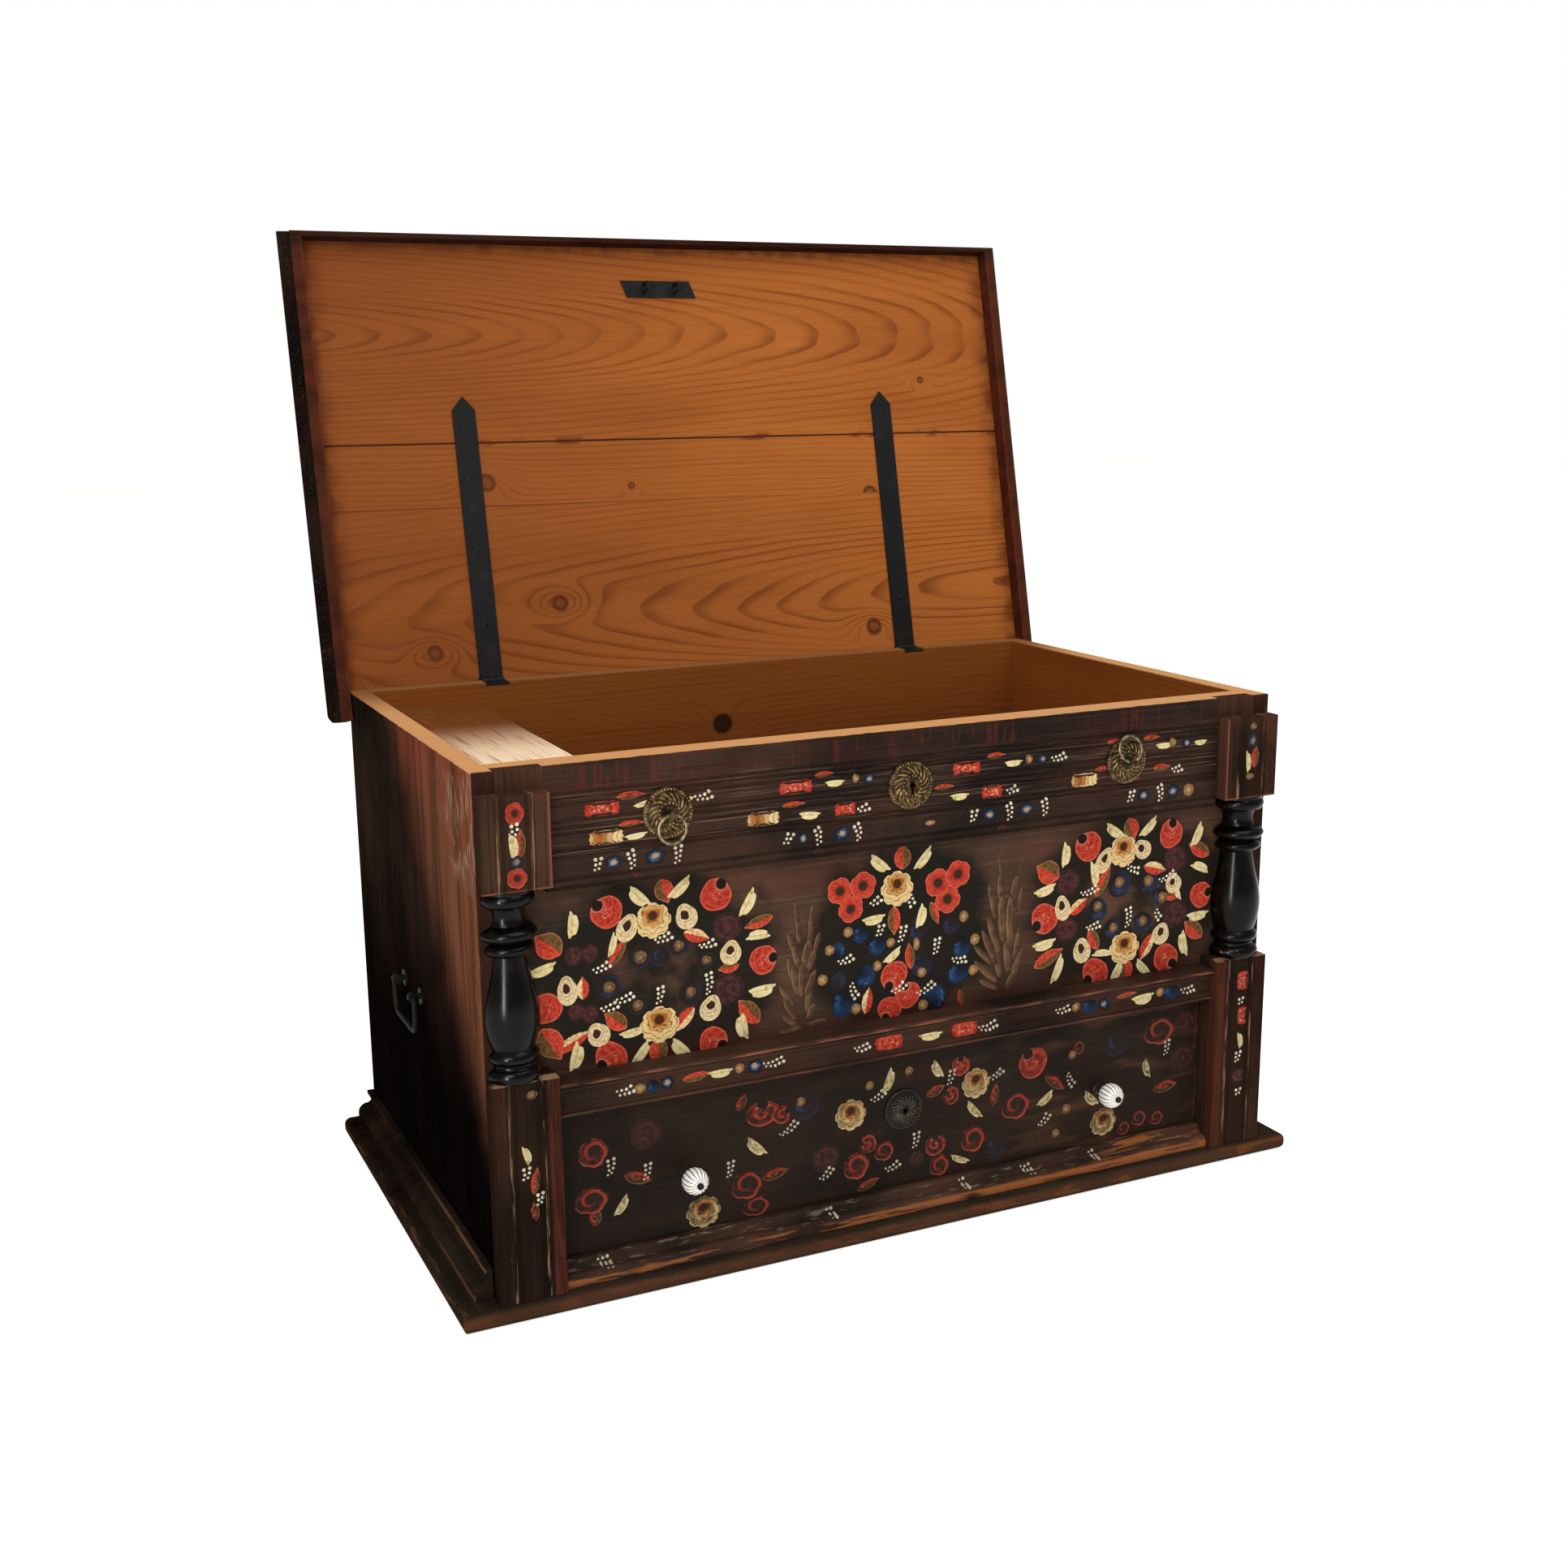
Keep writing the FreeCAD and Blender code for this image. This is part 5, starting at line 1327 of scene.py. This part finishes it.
waistRows = (
    ("redBlock", 0, ((-30, 258, 40, 18), (80, 258, 38, 18))),
    ("redLeaf", 0, ((-293, 258, 32, 11, 5), (330, 264, 28, 9, 5))),
    ("creamLeaf", 0, ((-261, 257, 32, 11), (30, 256, 34, 11), (358, 255, 36, 14, 5))),
    ("ochreDot", 0, ((-236, 259, 13, 14), (250, 260, 13, 14), (386, 260, 14, 14), (-365, 256, 16, 12))),
    ("berry", 0, ((-348, 256, 16, 16), (272, 258, 24, 18), (405, 257, 28, 18))),
    ("blueFlower", 0, ((-330, 257, 18, 16), (-215, 258, 22, 18), (295, 257, 18, 16))),
)
waistStrings = ((-383, 255, 10, 4), (-190, 257, 8, 5), (-68, 256, 10, 4), (115, 254, 8, 5),
                (230, 258, 8, 4),
                (432, 255, 8, 4))
drawerRows = (
    ("coral", 0.78, ((-420, 178, 38, 38), (-68, 91, 38, 38), (105, 95, 38, 38), (54, 68, 30, 30))),
    ("poppy", 0.55, ((196, 185, 46, 44, 30), (85, 200, 28, 28))),
    ("poppy", 0.74, ((70, 162, 26, 26, 60), (48, 98, 32, 32), (-52, 118, 26, 26, 80))),
    ("coral", 0.84, ((-424, 118, 44, 36), (170, 130, 46, 40), (400, 197, 52, 42), (-28, 104, 30, 28))),
    ("coral", 0.9, ((370, 75, 26, 24), (400, 70, 24, 22), (345, 65, 22, 22), (268, 195, 20, 20),
                    (-221, 97, 44, 40), (-209, 66, 38, 28))),
    ("redLeaf", 0.68, ((-365, 135, 32, 16, -20), (-183, 103, 34, 14, 10), (-52, 62, 30, 12, 20),
                      (230, 152, 34, 14, -40), (412, 113, 36, 16, 5), (-420, 95, 20, 16, 90),
                      (47, 172, 26, 14, 20))),
    ("redLeaf", 0.65, ((137, 150, 28, 12, 80), (-227, 206, 20, 12, 60))),
    ("poppy", 0.72, ((-198, 187, 48, 34), (-172, 180, 26, 24, -60))),
    ("creamLeaf", 0.46, ((-386, 103, 30, 12, 55), (-208, 144, 36, 15, -45), (-21, 198, 34, 14, 70),
                        (50, 201, 28, 14, -60), (217, 130, 30, 13, 35), (106, 135, 34, 12, -50),
                        (85, 70, 32, 10, -25))),
    ("creamLeaf", 0.6, ((381, 145, 30, 12, -75), (290, 117, 30, 14, -45))),
    ("rose", 0.5, ((-76, 162, 44, 42), (108, 172, 42, 42))),
    ("rose", 0.62, ((-280, 73, 46, 42), (311, 80, 42, 40))),
    ("plum", 0.6, ((-353, 190, 42, 40), (-112, 110, 40, 38), (440, 150, 44, 40), (444, 200, 36, 40),
                   (20, 84, 22, 22))),
    ("berry", 0.85, ((-140, 188, 44, 42), (330, 190, 40, 38), (140, 78, 34, 32))),
    ("ochreDot", 0.45, ((-146, 193, 13, 13), (-49, 197, 13, 13), (8, 207, 13, 13), (258, 186, 13, 13),
                       (234, 78, 13, 13), (250, 110, 15, 15))),
)
drawerStrings = ((-398, 156, 85, 4), (-352, 141, 80, 4), (-243, 122, 80, 4), (-162, 159, 35, 5),
                 (-36, 179, 30, 4),
                 (-15, 79, 20, 4), (71, 187, 75, 4), (255, 150, -60, 4), (216, 100, 45, 4),
                 (19, 110, 80, 4),
                 (414, 170, 85, 4), (140, 178, 30, 4), (-110, 88, 40, 4))
lipStrings = ((-415, 43.5, 0, 3), (-112, 43.5, 0, 2), (82, 43.5, 0, 2), (180, 43.5, 0, 3),
              (285, 43.5, 0, 2))
blockRows = (
    ("coral", 0.35, ((-509, 610, 22, 26), (-509, 536, 24, 24))),
    ("creamLeaf", 0.2, ((-512, 573, 30, 12, 95), (503, 570, 30, 9, 95))),
    ("redLeaf", 0.3, ((-504, 574, 28, 13, 85), (514, 575, 26, 12, 85))),
    ("blueFlower", 0.45, ((-509, 554, 17, 16), (509, 598, 18, 24))),
    ("ochreDot", 0.45, ((509, 618, 12, 10), (506, 550, 15, 9))),
)
blockStrings = ((-510, 591, 85, 3),)
pedestalRows = (
    ("ochreDot", 0.6, ((-502, 279, 15, 11),)),
    ("creamLeaf", 0.3, ((-511, 206, 24, 10, 105), (512, 175, 24, 10, 100))),
    ("redLeaf", 0.4, ((-502, 172, 28, 11, 80),)),
    ("redLeaf", 0.7, ((-504, 135, 20, 10, 95),)),
    ("redBlock", 0.3, ((513, 262, 27, 20, 90), (514, 211, 26, 16, 90))),
    ("plum", 0.0, ((512, 123, 22, 20),)),
)
pedestalStrings = ((-512, 184, 80, 3), (-497, 150, 80, 3), (510, 233, 80, 2), (509, 152, 80, 3),
                   (512, 100, 80, 2))


def copied(kind, place, turn, scale, fade, number):
    pad = copyOf(stock[kind], kind)
    pad.location = place
    pad.rotation_euler = (0, -math.radians(turn), 0)
    pad.scale = scale
    values = pad.data.attributes.new("fade", "FLOAT", "POINT").data
    values.foreach_set("value", [fade] * len(values))
    # no two neighbours lie at one height
    level = motifs[kind][2] * padLook["steps"] + number % padLook["steps"]
    pad.vertex_groups.new(name="lift").add(range(len(values)), level / padLook["levels"], "REPLACE")
    return pad


def motifPads(rows, y):
    pads = []
    for kind, fade, places in rows:
        for x, z, width, height, *turns in places:
            turn = turns[0] if turns else 0
            scale = (width / 2 * mm, 1, height / 2 * mm)
            pads.append(copied(kind, (x * mm, y, z * mm), turn, scale, fade, len(pads)))
    return pads


# In millimetres, but for the share of its size that a strand keeps at its end and how far one strand lags
beadString = {"size": 4.6, "end": 0.55, "gap": 5.9, "apart": 6.6, "stray": 0.6, "bow": 0.5, "lag": 0.4}


def stringPads(rows, y, fade):  # two strands of dots that dwindle and draw together
    pads = []
    look = beadString
    for x, z, turn, count in rows:
        along = Vector((math.cos(math.radians(turn)), 0, math.sin(math.radians(turn))))
        across = Vector((-along.z, 0, along.x))
        for number in range(count):
            step = number - (count - 1) / 2
            small = 1 - (1 - look["end"]) * number / count
            for side in (-0.5, 0.5):
                stray = random.uniform(-1, 1) * look["stray"]
                place = Vector((x, 0, z)) - along * (step + side * look["lag"]) * look["gap"]
                place += across * (side * look["apart"] * small + step * step * look["bow"] + stray)
                size = look["size"] * small / 2 * mm
                spot = (place.x * mm, y, place.z * mm)
                pads.append(copied("bead", spot, 0, (size, 1, size), fade, len(pads)))
    return pads


def reedPads(rows, y):
    pads = []
    for footX, footZ, tipX, tipZ, width in rows:
        reach = Vector((tipX - footX, tipZ - footZ))
        turn = math.degrees(math.atan2(reach.y, reach.x))
        place = ((footX + tipX) / 2 * mm, y, (footZ + tipZ) / 2 * mm)
        scale = (reach.length / 2 * mm, 1, width / 2 * mm)
        pads.append(copied("reed", place, turn, scale, padLook["reedFade"], len(pads)))
    return pads


def layPainting(name, carrier, rows, strings, stringFade=0.0, reeds=()):
    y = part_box(carrier)[0].y - padLook["clear"]
    pads = motifPads(rows, y) + stringPads(strings, y, stringFade) + reedPads(reeds, y)
    painting = joined(pads, name)
    applied(painting, "SHRINKWRAP", target=nodes[carrier], wrap_method="PROJECT", use_project_y=True,
            use_positive_direction=True, use_negative_direction=False,
            wrap_mode="ABOVE_SURFACE", offset=-padLook["sunk"])
    applied(painting, "DISPLACE", direction="Y", mid_level=0, strength=-padLook["lift"],
            vertex_group="lift")
    applied(painting, "SOLIDIFY", thickness=padLook["thick"], offset=1)
    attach(painting, nodes[carrier]["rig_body"])


def onSide(rows, edge):
    return [row for row in rows if row[0] * edge > 0]


layPainting("panelPainting", "front_board", leftWreath + bouquet + rightWreath, panelStrings,
            reeds=reedLeaves)
layPainting("friezePainting", "frieze_board", friezeRows, friezeStrings, 0.1)
layPainting("waistPainting", "waist_moulding", waistRows, waistStrings, 0.1)
layPainting("drawerPainting", "drawer_front", drawerRows, drawerStrings, 0.45)
layPainting("lipPainting", "drawer_lip_moulding", (), lipStrings, 0.4)
posts = (
    ("blockPainting", "upper_block_", blockRows, blockStrings, 0.1),
    ("pedestalPainting", "pedestal_", pedestalRows, pedestalStrings, 0.2),
)
for side, edge in (("left", -1), ("right", 1)):
    for name, stem, rows, strings, stringFade in posts:
        mine = [(kind, fade, onSide(places, edge)) for kind, fade, places in rows]
        layPainting(name + side.title(), stem + side, mine, onSide(strings, edge), stringFade)
for pad in stock.values():
    bpy.data.objects.remove(pad)
print("painting laid")


# Floor, light and camera
studio = {
    "floor": tint(250, 249, 247),
    "floorSize": 40,
    "glow": 0.66,
    "sky": 0.4,
    "aim": (0, 0, 0.5),
}
# Place, width and power, and the height of a slim upright light, for the sheen on the columns
lights = {
    "keyLight": ((-2.2, -3.2, 3.0), 1.6, 88),
    "topLight": ((0.9, -1.0, 4.0), 2.6, 80),
    "stripLight": ((-1.9, -2.02, 0.75), 0.03, 55, 1.4),
}
cameraLook = {
    "place": (-1.0622, -2.2116, 1.0679),
    "yaw": 25.01,
    "pitch": 12.40,
    "roll": -0.595,
    "lens": 41.70,
    "sensor": 36,
}


def makeFloor():
    bpy.ops.object.select_all(action="DESELECT")
    bpy.ops.mesh.primitive_plane_add(size=studio["floorSize"])
    floor = bpy.context.object
    floor.name = "studioFloor"
    floor.data.materials.append(mixed("paleFloor", lambda spot: {}, {
        "Base Color": studio["floor"], "Roughness": 0.9, "Specular IOR Level": 0.1,
        "Emission Color": studio["floor"], "Emission Strength": studio["glow"]}))


def makeLight(name, place, size, power, tall=0):
    bpy.ops.object.light_add(type="AREA", location=place)
    light = bpy.context.object
    light.name = name
    light.data.size = size
    light.data.energy = power
    if tall:
        light.data.shape = "RECTANGLE"
        light.data.size_y = tall
        light.visible_diffuse = False  # sheen alone
    aim = Vector(studio["aim"]) - Vector(place)
    light.rotation_euler = aim.to_track_quat("-Z", "Y").to_euler()


def makeWorld():
    world = bpy.data.worlds.new("studioSky")
    bpy.context.scene.world = world
    world.use_nodes = True
    tree = world.node_tree
    sky = tree.nodes["Background"]
    sky.inputs["Color"].default_value = (1, 1, 1, 1)
    seen = Strand(tree, tree.nodes.new("ShaderNodeLightPath").outputs["Is Camera Ray"])
    strength = studio["sky"] + seen * (1 - studio["sky"])
    tree.links.new(strength.socket, sky.inputs["Strength"])


def makeCamera():
    yaw, pitch, roll = (math.radians(cameraLook[key]) for key in ("yaw", "pitch", "roll"))
    camera = bpy.data.objects.new("photoCamera", bpy.data.cameras.new("photoCamera"))
    bpy.context.scene.collection.objects.link(camera)
    camera.data.lens = cameraLook["lens"]
    camera.data.sensor_width = cameraLook["sensor"]
    camera.data.sensor_fit = "HORIZONTAL"
    turn = Matrix.Rotation(-yaw, 4, "Z") @ Matrix.Rotation(math.pi / 2 - pitch, 4, "X")
    turn = turn @ Matrix.Rotation(roll, 4, "Z")
    camera.matrix_world = Matrix.Translation(cameraLook["place"]) @ turn
    bpy.context.scene.camera = camera


makeFloor()
for name, look in lights.items():
    makeLight(name, *look)
makeWorld()
makeCamera()
bpy.context.scene.view_settings.view_transform = "Standard"
print("studio set")
